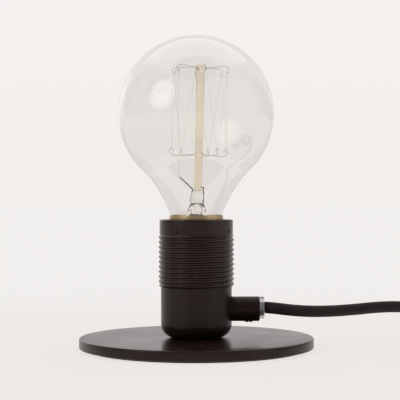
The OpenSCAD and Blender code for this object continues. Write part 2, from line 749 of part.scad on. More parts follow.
module upper_supports() {
    color("slategray") leaning() for (k = [0 : hooks - 1]) rotate(first_hook - 360 * k / hooks)
        hook(hub_d / 2 + seat, upper_r, hub_up - 0.4, -1);
}

module lower_supports() {
    color("slategray") leaning() for (k = [0 : hooks - 2]) rotate(first_hook - 360 * (k + 0.5) / hooks)
        hook(rod_d / 2 + 0.6 + seat, lower_r, lower_up, 1);
}

// The filament runs up and down between the eyes, bent over each, from one lead to the other
module filament() {
    function hung(r, a, up, drop) = [for (side = [-1 : 1])
        let (turn = a - side * filament_bend / r * 180 / PI)
        [r * cos(turn), r * sin(turn), up - abs(side) * drop]];
    step = 180 / hooks;
    in_eye = 2 * eye_h - (hook_wire + filament_d) / 2 - seat;
    path = concat([lead_tips[0] + [-0.3, 0, 0.4]],
        [for (k = [0 : 2 * hooks - 2]) for (p = k % 2 == 0
            ? hung(upper_r, first_hook - k * step, hub_up - 0.4 - in_eye, filament_bend)
            : hung(lower_r, first_hook - k * step, lower_up + in_eye, -filament_bend)) p],
        [lead_tips[1] + [0, -0.2, 0.4]]);
    color("darkgoldenrod") leaning() tube(path, filament_d, 6, [for (p = path) [p.x, p.y, 0.1]]);
}

// Two wires from the cap through the press to the filament's ends
module lead_wires() {
    low_z = cap_foot_z + 3.2;
    left = [[-2.4, 0, low_z], [-2.5, 0, neck_foot_z + 3], [-2.6, 0, press_top_z - press_h + 0.5],
        leaned([-2.6, 0, 0]), leaned(lead_tips[0])];
    right = [[2.6, 0, low_z], [2.8, 0, neck_foot_z + 3], [3.2, 0, press_top_z - press_h],
        [3.7, 0, press_top_z - press_h / 2], leaned([2.6, -0.3, 0]), leaned([2.8, -1.2, 1]), leaned(lead_tips[1])];
    color("slategray") wire(left, 0.6, [0, 1, 0]);
    color("slategray") wire(right, 0.6, [0, 1, 0]);
}

// ---- Cord ----

module cord_run(route) {
    color([0.14, 0.12, 0.11]) tube(route, cord_d, cord_sides, [for (p = route) [0, 0, 1]],
        first = route_ends(route)[0], last = route_ends(route)[1]);
}

// Each end of a stretch leaves square, along the axis that its first or last run is nearest to
function square_to(v) = abs(v.x) > abs(v.y) ? [sign(v.x), 0, 0] : [0, sign(v.y), 0];
function route_ends(route) = [square_to(route[1] - route[0]),
    square_to(route[len(route) - 1] - route[len(route) - 2])];

module cord_lead() {
    cord_run(lead_route);
}

module cord_link() {
    cord_run(link_route);
}

module cord_tail() {
    cord_run(tail_route);
}

// The coil's path after t turns: the radius shrinks and grows again at one rate, and the tube
// climbs to its second layer in the half turn round the middle
function coil_point(t) =
    let (middle = coil_turns / 2, r = coil_out_r - coil_step * min(t, coil_turns - t),
        climb = max(0, min(1, (t - middle) / coil_climb + 0.5)))
    [coil_centre.x + r * cos(-360 * t), coil_centre.y + r * sin(-360 * t), coil_z + coil_step * climb];

coil_path = let (count = round(coil_turns * coil_rings), lead_in = link_route[len(link_route) - 1])
    concat([lead_in], [for (i = [0 : count]) coil_point(i * coil_turns / count)], [tail_route[0]]);

function path_length(path) = path_sum(path, len(path) - 1);
function path_sum(path, i) = i == 0 ? 0 : norm(path[i] - path[i - 1]) + path_sum(path, i - 1);
coil_gap = min([for (i = [0 : len(coil_path) - 1]) for (j = [i + 14 : 1 : len(coil_path) - 1])
    norm(coil_path[i] - coil_path[j])]) - cord_d;
echo(least_gap_in_coil = coil_gap);
echo(cord_length = path_length(lead_route) + switch_l + path_length(link_route)
    + path_length(coil_path) + path_length(tail_route) + sleeve_l);

module cord_coil() {
    color([0.14, 0.12, 0.11]) tube(coil_path, cord_d, coil_sides, [for (p = coil_path) [0, 0, 1]],
        first = route_ends([coil_path[0], coil_path[1]])[0], last = [-1, 0, 0]);
}

// ---- Switch on the cord ----

// The housing's outside, both halves together: a rounded plan and rounded upper ends
module switch_form() {
    side_round = 4;
    intersection() {
        translate([switch_l / 2, 0, 0]) linear_extrude(switch_h) offset(r = switch_round, $fn = 32)
            square([switch_l - 2 * switch_round, switch_w - 2 * switch_round], center = true);
        translate([0, switch_w / 2, 0]) rotate([90, 0, 0]) linear_extrude(switch_w) intersection() {
            translate([switch_l / 2, 0]) offset(r = side_round, $fn = 32)
                square([switch_l - 2 * side_round, 2 * switch_h - 2 * side_round], center = true);
            square([switch_l, switch_h]);
        }
    }
}

module switch_cavity() {
    translate([(switch_l - cavity_l) / 2, -switch_w / 2 + 3, switch_wall])
        cube([cavity_l, switch_w - 6, switch_h - 2 * switch_wall]);
}

module switch_base() {
    color([0.12, 0.11, 0.11]) translate(switch_at) difference() {
        intersection() {
            switch_form();
            translate([0, -switch_w, 0]) cube([switch_l, 2 * switch_w, switch_split]);
        }
        switch_cavity();
        for (x = switch_screw_x) translate([x, 0, 0]) {
            translate([0, 0, -cut]) cylinder(h = 3 + cut, d = 5.6, $fn = 32);
            cylinder(h = switch_split + cut, d = 3 + 2 * fit_gap, $fn = 24);
        }
    }
}

module switch_cover() {
    window_l = rocker_l + 2 * rocker_gap + 0.6;
    window_w = rocker_w + 2 * rocker_gap;
    color([0.12, 0.11, 0.11]) translate(switch_at) difference() {
        union() {
            difference() {
                intersection() {
                    switch_form();
                    translate([0, -switch_w, switch_split]) cube([switch_l, 2 * switch_w, switch_h]);
                }
                switch_cavity();
            }
            for (side = [-1, 1]) translate([switch_l / 2 - 3.5,
                side * (window_w / 2 + cheek_t / 2) - cheek_t / 2, rocker_up - 2.6])
                cube([7, cheek_t, switch_h - rocker_up + 1.6]);
        }
        translate([(switch_l - window_l) / 2, -window_w / 2, switch_split + 1])
            cube([window_l, window_w, switch_h]);
        translate([switch_l / 2, -window_w / 2 - cheek_t - cut, rocker_up]) rotate([-90, 0, 0])
            cylinder(h = window_w + 2 * cheek_t + 2 * cut, d = axle_d + 2 * fit_gap);
        for (x = switch_screw_x) translate([x, 0, switch_split - cut])
            cylinder(h = 5 + cut, d = 2.4 + 2 * seat, $fn = 24);
    }
}

// The rocker, at rest tipped down at the lamp's side: two slopes on top and an axle across
module switch_rocker() {
    half = rocker_l / 2;
    color("black") translate(switch_at) translate([switch_l / 2, 0, rocker_up])
        rotate([0, -rocker_tilt, 0]) union() {
            translate([0, rocker_w / 2, 0]) rotate([90, 0, 0]) linear_extrude(rocker_w) polygon([
                [-half, -rocker_drop], [-half, rocker_rise - 0.4], [-half + 0.4, rocker_rise],
                [0, rocker_rise - 1], [half - 0.4, rocker_rise], [half, rocker_rise - 0.4],
                [half, -rocker_drop], [2, -rocker_drop - 1.6], [-2, -rocker_drop - 1.6]]);
            translate([0, -rocker_w / 2 - rocker_gap - cheek_t + 0.2, 0]) rotate([-90, 0, 0])
                cylinder(h = rocker_w + 2 * (rocker_gap + cheek_t - 0.2), d = axle_d);
        }
}

module switch_screws() {
    color("silver") translate(switch_at) for (x = switch_screw_x) translate([x, 0, 3])
        rotate([180, 0, 0]) slotted_screw(2.4, switch_split + 1, 5, 1.8);
}

// Two brass strips on the cavity's floor, one under each end of the rocker
module switch_contacts() {
    color("goldenrod") translate(switch_at) for (side = [-1, 1])
        translate([switch_l / 2, side * 3.4 + 1.5, switch_wall]) rotate([90, 0, 0]) linear_extrude(3)
            polygon([[-12, 0], [12, 0], [12, 0.5], [5, 0.5], [2, 5.5], [-2, 5.5], [-5, 0.5], [-12, 0.5]]);
}

// ---- Plug ----

module at_plug() {
    translate(plug_at) rotate([0, 0, 180]) children();
}

module plug_sleeve() {
    grooves = 5;
    color([0.1, 0.09, 0.09]) at_plug() rotate([0, 90, 0]) difference() {
        cylinder(h = sleeve_l, d1 = sleeve_d[0], d2 = sleeve_d[1]);
        for (i = [0 : grooves - 1]) translate([0, 0, 2.2 + 3.2 * i]) rotate_extrude()
            translate([3.8 + 0.3 * i, 0]) square([4, 1.4]);
    }
}

module plug_body() {
    collar_l = 12;
    color([0.1, 0.09, 0.09]) at_plug() hull() {
        translate([sleeve_l, 0, 0]) rotate([0, 90, 0]) cylinder(h = 2, d = plug_h - 1, $fn = 32);
        for (side = [-1, 1]) translate([sleeve_l + collar_l, side * (plug_w - plug_h) / 2, 0])
            rotate([0, 90, 0]) cylinder(h = plug_l - collar_l, d = plug_h, $fn = 32);
    }
}

module each_pin() {
    at_plug() for (side = [-1, 1])
        translate([sleeve_l + plug_l, side * pin_gap / 2, 0]) rotate([0, 90, 0]) children();
}

module plug_pins() {
    color("silver") each_pin() union() {
        cylinder(h = pin_sleeve_l + 1, d = pin_d - 1.4, $fn = 32);
        translate([0, 0, pin_sleeve_l]) cylinder(h = pin_l - pin_sleeve_l - 1.2, d = pin_d, $fn = 32);
        translate([0, 0, pin_l - 1.2]) cylinder(h = 1.2, d1 = pin_d, d2 = pin_d - 1.8, $fn = 32);
    }
}

module pin_sleeves() {
    color([0.1, 0.09, 0.09]) each_pin() difference() {
        cylinder(h = pin_sleeve_l, d = pin_d - 0.2, $fn = 32);
        translate([0, 0, -cut]) cylinder(h = pin_sleeve_l + 2 * cut, d = pin_d - 1.4 + 2 * seat, $fn = 32);
    }
}

base_pad();
base_plate();
base_nut();
lock_washer();
base_nipple();
lower_cap();
outlet_tube();
outlet_nut();
clamp_screw();
cord_grip();
upper_shell();
socket_insert();
screw_shell();
shell_rivets();
contact_spring();
contact_screw();
neutral_screw();
terminal_live();
terminal_neutral();
terminal_screws();
inner_cord();
conductors();
solder_contact();
cap_shell();
cap_insulator();
bulb_glass();
stem_flare();
glass_rod();
upper_supports();
lower_supports();
filament();
lead_wires();
cord_lead();
switch_base();
switch_cover();
switch_rocker();
switch_screws();
switch_contacts();
cord_link();
cord_coil();
cord_tail();
plug_body();
plug_sleeve();
plug_pins();
pin_sleeves();
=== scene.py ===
"""A bare bulb table lamp: a round steel foot, a smooth cup with the cord's outlet at its side, a
threaded metal lampholder and a clear globe bulb. Lengths are in metres unless a name ends in mm."""
import bpy
import bmesh
import math
from mathutils import Matrix, Vector


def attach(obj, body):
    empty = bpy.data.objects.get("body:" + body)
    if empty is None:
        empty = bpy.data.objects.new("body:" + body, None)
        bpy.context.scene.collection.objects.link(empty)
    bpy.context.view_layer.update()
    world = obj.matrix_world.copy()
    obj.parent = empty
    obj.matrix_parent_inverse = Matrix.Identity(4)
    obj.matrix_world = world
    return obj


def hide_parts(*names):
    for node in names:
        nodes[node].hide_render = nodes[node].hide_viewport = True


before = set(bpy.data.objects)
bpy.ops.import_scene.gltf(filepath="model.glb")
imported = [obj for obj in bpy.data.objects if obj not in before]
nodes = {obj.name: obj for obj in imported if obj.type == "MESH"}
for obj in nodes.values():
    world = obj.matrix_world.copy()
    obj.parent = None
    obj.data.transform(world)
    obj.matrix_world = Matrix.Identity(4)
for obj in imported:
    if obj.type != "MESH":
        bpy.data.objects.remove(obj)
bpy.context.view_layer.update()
scene = bpy.context.scene

# ---- View and light ----
# The camera stands low in front of the lamp, level with the top of the threaded shell. The lamp
# is lit as on a pale sweep: a bright wall behind it, a broad lamp above, soft windows at the left
# and right and a dim room in front, so that dark coated steel shows lit limbs and glass its edges.
MM = 0.001
camera_data = bpy.data.cameras.new("camera")
camera_data.sensor_width = 36.0
camera_data.lens = 108.7
camera_data.clip_start = 0.01
camera = bpy.data.objects.new("camera", camera_data)
camera.location = (1.93 * MM, -620.0 * MM, 75.29 * MM)
camera.rotation_euler = (math.radians(90.096), math.radians(0.095), 0.0)
scene.collection.objects.link(camera)
scene.camera = camera

scene.view_settings.view_transform = "Standard"

BACKDROP_TOP, BACKDROP_LOW = (0.905, 0.880, 0.868), (0.850, 0.832, 0.812)
WINDOWS = [((-0.79, -0.58, 0.41), 0.915, 0.985, (2.2, 2.17, 2.12), 0.6),
           ((0.93, -0.30, 0.22), 0.80, 0.97, (0.75, 0.74, 0.72), 0.0),
           ((-0.56, 0.83, 0.08), 0.93, 0.99, (0.50, 0.51, 0.50), 0.0)]
ROOM_GREYS = [(0.0, 0.12), (0.5, 0.24), (0.65, 0.32), (0.88, 0.41), (0.935, 0.42), (0.985, 0.90)]


class Nodes:
    """A node tree under construction. An input is given a value, or a socket to link to it."""

    def __init__(self, tree):
        self.tree = tree

    def give(self, socket, value):
        if isinstance(value, bpy.types.NodeSocket):
            self.tree.links.new(value, socket)
        elif value is not None:
            socket.default_value = value

    def add(self, kind, settings=(), **inputs):
        node = self.tree.nodes.new(kind)
        for key, value in dict(settings).items():
            setattr(node, key, value)
        for key, value in inputs.items():
            self.give(node.inputs[key.replace("_", " ")], value)
        return node

    def listed(self, kind, settings, *values):
        """The first output of a node whose inputs are given in their order."""
        node = self.add(kind, settings)
        for socket, value in zip(node.inputs, values):
            self.give(socket, value)
        return node.outputs[0]

    def sum(self, kind, *values):
        return self.listed("ShaderNodeMath", {"operation": kind}, *values)

    def blend(self, factor, first, second):
        return self.add("ShaderNodeMix", {"data_type": "RGBA"}, Factor=factor, A=(*first, 1.0),
                        B=(*second, 1.0)).outputs["Result"]

    def between(self, value, low, high, start=0.0, end=1.0, ease="LINEAR"):
        """Maps value, which runs from start to end, to a number from low to high."""
        return self.add("ShaderNodeMapRange", {"interpolation_type": ease}, Value=value,
                        From_Min=start, From_Max=end, To_Min=low, To_Max=high).outputs["Result"]


def new_material(name):
    """A material with an empty node tree, and the means to build it."""
    material = bpy.data.materials.new(name)
    material.use_nodes = True
    material.node_tree.nodes.clear()
    return material, Nodes(material.node_tree)


def build_world():
    world = bpy.data.worlds.new("studio")
    scene.world = world
    world.use_nodes = True
    world.node_tree.nodes.clear()
    made = Nodes(world.node_tree)
    way = made.add("ShaderNodeTexCoord").outputs["Generated"]
    rays = made.add("ShaderNodeLightPath").outputs
    split = made.add("ShaderNodeSeparateXYZ", Vector=way).outputs
    beyond = made.blend(made.between(split["Z"], 0.0, 1.0, -0.16, 0.16), BACKDROP_LOW,
                        BACKDROP_TOP)
    front = made.sum("MULTIPLY_ADD", split["Y"], 0.5, 0.5)
    around = made.add("ShaderNodeValToRGB", Fac=made.sum("MULTIPLY_ADD", split["Z"], 0.45, front))
    ramp = around.color_ramp.elements
    for place, grey in ROOM_GREYS[1:-1]:
        ramp.new(place)
    for stop, (place, grey) in zip(ramp, ROOM_GREYS):
        stop.position = place
        stop.color = (grey, 0.95 * grey, 0.94 * grey, 1.0)
    lit = around.outputs["Color"]
    for aim, cos_out, cos_in, glow, in_glass in WINDOWS:
        toward = made.add("ShaderNodeVectorMath", {"operation": "DOT_PRODUCT"}, Vector=way)
        toward.inputs[1].default_value = Vector(aim).normalized()
        soft = made.between(toward.outputs["Value"], 0.0, 1.0, cos_out, cos_in, "SMOOTHSTEP")
        shine = made.add("ShaderNodeVectorMath", {"operation": "SCALE"}, Vector=glow, Scale=soft)
        lit = made.listed("ShaderNodeVectorMath", {"operation": "ADD"}, lit, shine.outputs[0])
        if in_glass:
            share = made.sum("MULTIPLY", rays["Is Transmission Ray"], in_glass)
            passed = made.add("ShaderNodeVectorMath", {"operation": "SCALE"},
                              Vector=shine.outputs[0], Scale=share)
            beyond = made.listed("ShaderNodeVectorMath", {"operation": "ADD"}, beyond,
                                 passed.outputs[0])
    seen = made.sum("MAXIMUM", rays["Is Camera Ray"], rays["Is Transmission Ray"])
    made.add("ShaderNodeOutputWorld", Surface=made.listed(
        "ShaderNodeMixShader", (), seen,
        made.add("ShaderNodeBackground", Color=lit).outputs[0],
        made.add("ShaderNodeBackground", Color=beyond).outputs[0]))


def build_floor(size):
    """A pale floor: real diffuse paint round the lamp, which takes its soft shadow, and the
    backdrop's own tone further out, so that no edge shows."""
    mesh = bpy.data.meshes.new("floor")
    half = size / 2
    mesh.from_pydata([(-half, -half, 0), (half, -half, 0), (half, half, 0), (-half, half, 0)],
                     [], [(0, 1, 2, 3)])
    floor = bpy.data.objects.new("floor", mesh)
    scene.collection.objects.link(floor)
    material, made = new_material("floor_paint")
    reach = made.add("ShaderNodeVectorMath", {"operation": "LENGTH"},
                     Vector=made.add("ShaderNodeTexCoord").outputs["Object"])
    fade = made.between(reach.outputs["Value"], 0.84, 1.0, 0.08, 0.45, "SMOOTHSTEP")
    dimmer = made.between(made.add("ShaderNodeLightPath").outputs["Is Glossy Ray"], 1.0, 0.9)
    paint = made.add("ShaderNodeBsdfDiffuse", Color=(0.84, 0.825, 0.81, 1.0))
    tone = made.add("ShaderNodeEmission", Color=(0.876, 0.856, 0.842, 1.0), Strength=dimmer)
    made.add("ShaderNodeOutputMaterial", Surface=made.listed(
        "ShaderNodeMixShader", (), fade, paint.outputs[0], tone.outputs[0]))
    mesh.materials.append(material)


def add_soft_light(name, place, aim, size, watts, tint):
    data = bpy.data.lights.new(name, "AREA")
    data.shape = "RECTANGLE"
    data.size, data.size_y = size
    data.energy = watts
    data.color = tint
    lamp = bpy.data.objects.new(name, data)
    lamp.location = place
    lamp.rotation_euler = (Vector(aim) - Vector(place)).to_track_quat("-Z", "Y").to_euler()
    scene.collection.objects.link(lamp)


build_world()
build_floor(40.0)
add_soft_light("overhead", (0.0, 0.4, 2.2), (0, 0, 0.05), (3.4, 3.4), 11.5, (1.0, 0.985, 0.97))

# ---- Cord ----
# A round two-core lead, 6 mm thick, in a close braided textile sleeve, nearly black brown. It
# leaves the cup's outlet, runs over the foot's rim to a switch in the line, and goes on to a
# neat coil and a flat two-pin plug, which lie on the table outside the picture.
CORD_D = 6.0 * MM
CORD_SIDES = 20
LEAD_MM = [(34.7, 0, 21.1), (40, 0.5, 20.7), (50, 2.5, 19.4), (60, 5.5, 18.6), (71, 9.5, 18.4),
           (83, 14, 18.8), (95, 18, 19.5), (107, 21.5, 19.5), (118, 25.8, 18), (128, 31.4, 15.6),
           (138, 38, 12.8), (146, 42.8, 10.8), (152, 45.8, 9.5), (158, 47, 9)]
LINK_MM = [(220, 47, 9), (227, 46.6, 8.7), (238, 44, 6.8), (249, 37.5, 4.8), (258, 28, 3.6),
           (264.5, 16, 3.2), (268, 3.5, 3.2), (268.6, -8, 3.2)]
TAIL_MM = [(218, -58.6, 9.8), (211, -57.7, 9.6), (204, -55, 9), (200, -52.4, 8.5),
           (196, -49.6, 7.9), (189, -46.9, 7.2), (182, -46, 7)]
COIL_CENTRE, COIL_OUT_R, COIL_Z, COIL_STEP, COIL_TURNS = (224.0, -14.0), 44.6, 3.2, 6.6, 6.25
COIL_CLIMB_TURNS, COIL_KNOTS, FAR_STEP = 0.5, 150, 3 * MM


def coil_point(t):
    """The coil's centreline after t turns, in mm: inwards, up one layer, and out again."""
    radius = COIL_OUT_R - COIL_STEP * min(t, COIL_TURNS - t)
    climb = max(0.0, min(1.0, (t - COIL_TURNS / 2) / COIL_CLIMB_TURNS + 0.5))
    turn = -2 * math.pi * t
    return (COIL_CENTRE[0] + radius * math.cos(turn), COIL_CENTRE[1] + radius * math.sin(turn),
            COIL_Z + COIL_STEP * climb)


def smooth_path(points, step, start, end):
    """An even path in metres through points in mm, leaving along start and arriving along end."""
    knots = [Vector(p) * MM for p in points]
    slopes = []
    for i, p in enumerate(knots):
        if i == 0:
            slopes.append(Vector(start).normalized() * (knots[1] - p).length)
        elif i == len(knots) - 1:
            slopes.append(Vector(end).normalized() * (p - knots[i - 1]).length)
        else:
            before, after = (p - knots[i - 1]).length, (knots[i + 1] - p).length
            way = ((p - knots[i - 1]) / before + (knots[i + 1] - p) / after).normalized()
            slopes.append(way * 0.5 * (before + after))
    fine = [knots[0]]
    for i in range(len(knots) - 1):
        span = (knots[i + 1] - knots[i]).length
        count = max(1, round(span / step))
        for k in range(1, count + 1):
            t = k / count
            fine.append((2 * t**3 - 3 * t**2 + 1) * knots[i] + (t**3 - 2 * t**2 + t) * slopes[i]
                        + (3 * t**2 - 2 * t**3) * knots[i + 1] + (t**3 - t**2) * slopes[i + 1])
    return fine


def heading(path, i):
    """The direction of a path at its point i."""
    return (path[min(i + 1, len(path) - 1)] - path[max(i - 1, 0)]).normalized()


def ring(centre, across, over, radius, sides):
    """Points of a circle about centre, in the plane of two directions."""
    return [centre + radius * (math.cos(2 * math.pi * k / sides) * across
                               + math.sin(2 * math.pi * k / sides) * over) for k in range(sides)]


def add_piece(name, mesh, material, crisp=None):
    """Puts a smooth mesh in the scene. Edges sharper than crisp degrees stay crisp."""
    mesh.shade_smooth()
    if crisp:
        mesh.set_sharp_from_angle(angle=math.radians(crisp))
    mesh.materials.append(material)
    piece = bpy.data.objects.new(name, mesh)
    scene.collection.objects.link(piece)
    return piece


def cord_tube(name, path, material):
    """A closed tube along path. Its UV runs round the cord in u and along it, in metres, in v."""
    run = [0.0]
    for a, b in zip(path, path[1:]):
        run.append(run[-1] + (b - a).length)
    verts, faces, uvs = [], [], []
    for i, p in enumerate(path):
        across = Vector((0, 0, 1)).cross(heading(path, i)).normalized()
        verts += ring(p, across, heading(path, i).cross(across), CORD_D / 2, CORD_SIDES)
    for i in range(len(path) - 1):
        for k in range(CORD_SIDES):
            low, high, side = i * CORD_SIDES, (i + 1) * CORD_SIDES, (k + 1) % CORD_SIDES
            faces.append((low + k, low + side, high + side, high + k))
            uvs += [(k / CORD_SIDES, run[i]), ((k + 1) / CORD_SIDES, run[i]),
                    ((k + 1) / CORD_SIDES, run[i + 1]), (k / CORD_SIDES, run[i + 1])]
    last = (len(path) - 1) * CORD_SIDES
    faces.append(tuple(range(CORD_SIDES - 1, -1, -1)))
    faces.append(tuple(last + k for k in range(CORD_SIDES)))
    uvs += [(0, 0)] * CORD_SIDES + [(0, run[-1])] * CORD_SIDES
    mesh = bpy.data.meshes.new(name)
    mesh.from_pydata(verts, [], faces)
    for item, uv in zip(mesh.uv_layers.new(name="cord").data, uvs):
        item.uv = uv
    return add_piece(name, mesh, material), run[-1]


def new_group(name, takes, gives, vectors=()):
    """A shader node group with inputs and outputs by name, and the means to build it."""
    group = bpy.data.node_groups.new(name, "ShaderNodeTree")
    for way, sockets in (("INPUT", takes), ("OUTPUT", gives)):
        for label in sockets:
            kind = "NodeSocketVector" if label in vectors else "NodeSocketFloat"
            group.interface.new_socket(label, in_out=way, socket_type=kind)
    made = Nodes(group)
    return group, made, made.add("NodeGroupInput").outputs


def braid_group():
    """Textile braid: two families of strands cross at a slant round the cord, over and under."""
    group, made, given = new_group("braid", ("Strands", "Pitch"), ("Height", "Family"))
    uv = made.add("ShaderNodeUVMap", {"uv_map": "cord"})
    split = made.add("ShaderNodeSeparateXYZ", Vector=uv.outputs[0]).outputs
    around = made.sum("MULTIPLY", split["X"], given["Strands"])
    along = made.sum("DIVIDE", split["Y"], given["Pitch"])
    waves = [made.sum("SINE", made.sum("MULTIPLY", made.sum(kind, around, along), math.pi))
             for kind in ("ADD", "SUBTRACT")]
    over = made.sum("GREATER_THAN", made.sum("MULTIPLY", *waves), 0.0)
    strands = [made.sum("ABSOLUTE", wave) for wave in waves]
    mix = made.add("ShaderNodeMix", Factor=over, A=strands[0], B=strands[1])
    made.add("NodeGroupOutput", Height=made.sum("POWER", mix.outputs["Result"], 0.5), Family=over)
    return group


def principled(made, **inputs):
    """Ends a material in a Principled shader with these inputs."""
    made.add("ShaderNodeOutputMaterial",
             Surface=made.add("ShaderNodeBsdfPrincipled", **inputs).outputs[0])


def relief(made, height, strength, depth_mm, normal=None):
    """The normal of a surface whose height varies by a depth in mm."""
    return made.add("ShaderNodeBump", Strength=strength, Distance=depth_mm * MM, Height=height,
                    Normal=normal).outputs[0]


def textile_material():
    material, made = new_material("braided_textile")
    braid = made.add("ShaderNodeGroup", {"node_tree": braid_group()}, Strands=12.0, Pitch=1.5 * MM)
    fuzz = made.add("ShaderNodeTexNoise", Vector=made.add("ShaderNodeTexCoord").outputs["Object"],
                    Scale=900.0, Detail=4.0).outputs["Fac"]
    tone = made.blend(fuzz, (0.016, 0.0105, 0.0100), (0.030, 0.0205, 0.0195))
    # The tone is multiplied by the braid's height: painted shade darkens the low places between the
    # strands.
    shade = made.add("ShaderNodeMix", {"data_type": "RGBA", "blend_type": "MULTIPLY"},
                     Factor=0.55, A=tone, B=braid.outputs["Height"])
    normal = relief(made, fuzz, 0.35, 0.08, relief(made, braid.outputs["Height"], 0.7, 0.25))
    principled(made, Base_Color=shade.outputs["Result"], Normal=normal, Roughness=0.75,
               Specular_IOR_Level=0.25, Sheen_Weight=0.12, Sheen_Roughness=0.4,
               Sheen_Tint=(0.9, 0.8, 0.75, 1.0))
    return material


RING_STEP = 1.5 * MM
braided_textile = textile_material()
lead_path = smooth_path(LEAD_MM, RING_STEP, (1, 0, 0), (1, 0, 0))
coil_knots = [coil_point(COIL_TURNS * i / COIL_KNOTS) for i in range(COIL_KNOTS + 1)]
far_path = smooth_path(LINK_MM + coil_knots + TAIL_MM, FAR_STEP, (1, 0, 0), (-1, 0, 0))
lead_cord, lead_length = cord_tube("cord_to_switch", lead_path, braided_textile)
far_cord, far_length = cord_tube("cord_to_plug", far_path, braided_textile)
for piece, replaced in ((lead_cord, ["cord_lead"]),
                        (far_cord, ["cord_link", "cord_coil", "cord_tail"])):
    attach(piece, "stand")
    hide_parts(*replaced)

# ---- Foot ----
# A steel disc, 120 mm across and 5 mm thick, turned with broken edges and powder coated in a
# very dark brown. A soft pad is glued under it, round the recess for the nut that holds the cup.
ROUND = 256


def turned(name, outline_mm, material, sides=ROUND, closed=True):
    """A turned piece: an outline of (radius, height) in mm, spun about the lamp's axis. Corners
    sharper than 30 degrees stay crisp."""
    mesh = bpy.data.meshes.new(name)
    made = bmesh.new()
    rows = []
    for r, z in outline_mm:
        if r < 1e-6:
            rows.append([made.verts.new((0.0, 0.0, z * MM))])
        else:
            rows.append([made.verts.new((r * MM * math.cos(2 * math.pi * k / sides),
                                         r * MM * math.sin(2 * math.pi * k / sides), z * MM))
                         for k in range(sides)])
    pairs = list(zip(rows, rows[1:] + rows[:1])) if closed else list(zip(rows, rows[1:]))
    for low, high in pairs:
        if len(low) == 1 and len(high) == 1:
            continue
        for k in range(sides):
            n = (k + 1) % sides
            corners = [low[k % len(low)], low[n % len(low)],
                       high[n % len(high)], high[k % len(high)]]
            made.faces.new([v for i, v in enumerate(corners) if v not in corners[:i]])
    bmesh.ops.recalc_face_normals(made, faces=made.faces)
    made.to_mesh(mesh)
    made.free()
    return add_piece(name, mesh, material, 30)


def object_texture(made, kind, scale, settings=(), **inputs):
    """A texture in the piece's own coordinates."""
    return made.add(kind, settings, Vector=made.add("ShaderNodeTexCoord").outputs["Object"],
                    Scale=scale, **inputs)


def skinned(name, stacks):
    """A mesh of skins over stacks of rings of points, each closed at both its ends."""
    made = bmesh.new()
    for stack in stacks:
        rows = [[made.verts.new(p) for p in points] for points in stack]
        for low, high in zip(rows, rows[1:]):
            for k in range(len(low)):
                n = (k + 1) % len(low)
                made.faces.new((low[k], low[n], high[n], high[k]))
        made.faces.new(rows[0][::-1])
        made.faces.new(rows[-1])
    bmesh.ops.recalc_face_normals(made, faces=made.faces)
    mesh = bpy.data.meshes.new(name)
    made.to_mesh(mesh)
    made.free()
    return mesh


def stand_for(piece, body, slot, *replaced):
    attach(piece, body)
    if replaced:
        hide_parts(*replaced)


def arc(cx, cz, radius, start, end, steps):
    """Points of an outline's round corner, in mm, from one angle to another in degrees."""
    return [(cx + radius * math.cos(math.radians(start + (end - start) * i / steps)),
             cz + radius * math.sin(math.radians(start + (end - start) * i / steps)))
            for i in range(steps + 1)]


def coat_group():
    """Fine powder coat: a pebbled height at two sizes, and a slow drift of tone over it."""
    group, made, given = new_group("powder_coat", ("Grain",), ("Height", "Tone"))
    where = made.add("ShaderNodeTexCoord").outputs["Object"]
    coarser = made.sum("MULTIPLY", given["Grain"], 0.35)
    fine, pebble, drift = (made.add("ShaderNodeTexNoise", Vector=where, Scale=size, Detail=detail)
                           .outputs["Fac"] for size, detail in (
                               (given["Grain"], 3.0), (coarser, 2.0), (45.0, 3.0)))
    made.add("NodeGroupOutput", Height=made.sum("ADD", fine, pebble), Tone=drift)
    return group


def coat_material(name, dark, pale, roughness, shine, grain=2600.0):
    material, made = new_material(name)
    powder = made.add("ShaderNodeGroup", {"node_tree": powder_coat}, Grain=grain).outputs
    principled(made, Base_Color=made.blend(powder["Tone"], dark, pale),
               Roughness=made.between(powder["Tone"], roughness - 0.03, roughness + 0.03, 0.3, 0.7),
               Normal=relief(made, powder["Height"], 0.25, 0.02), Specular_IOR_Level=shine,
               Specular_Tint=(1.0, 0.88, 0.87, 1.0))
    return material


powder_coat = coat_group()
COAT_DARK, COAT_PALE = (0.0140, 0.0068, 0.0048), (0.0190, 0.0096, 0.0072)
dark_coat = coat_material("dark_brown_coat", COAT_DARK, COAT_PALE, 0.31, 0.3)
shell_coat = coat_material("shell_coat", (0.0150, 0.0068, 0.0050), (0.0200, 0.0094, 0.0074),
                           0.20, 0.36)
outlet_coat = coat_material("outlet_coat", COAT_DARK, COAT_PALE, 0.40, 0.20)
plate_coat = coat_material("plate_coat", COAT_DARK, COAT_PALE, 0.25, 0.28)
PLATE_R, PLATE_LOW, PLATE_TOP, EDGE = 60.0, 1.0, 6.0, 0.6
RECESS_R, RECESS_TOP, NIPPLE_HOLE_R, PAD_R = 10.58, 4.2, 5.1, 56.0
plate = turned("foot_plate",
               [(NIPPLE_HOLE_R, PLATE_TOP)] + [(PLATE_R * k / 6, PLATE_TOP) for k in range(1, 6)]
               + arc(PLATE_R - EDGE, PLATE_TOP - EDGE, EDGE, 90, 0, 6)
               + arc(PLATE_R - EDGE, PLATE_LOW + EDGE, EDGE, 0, -90, 6)
               + [(RECESS_R, PLATE_LOW), (RECESS_R, RECESS_TOP), (NIPPLE_HOLE_R, RECESS_TOP)],
               plate_coat)
stand_for(plate, "stand", "black_coat", "base_plate")


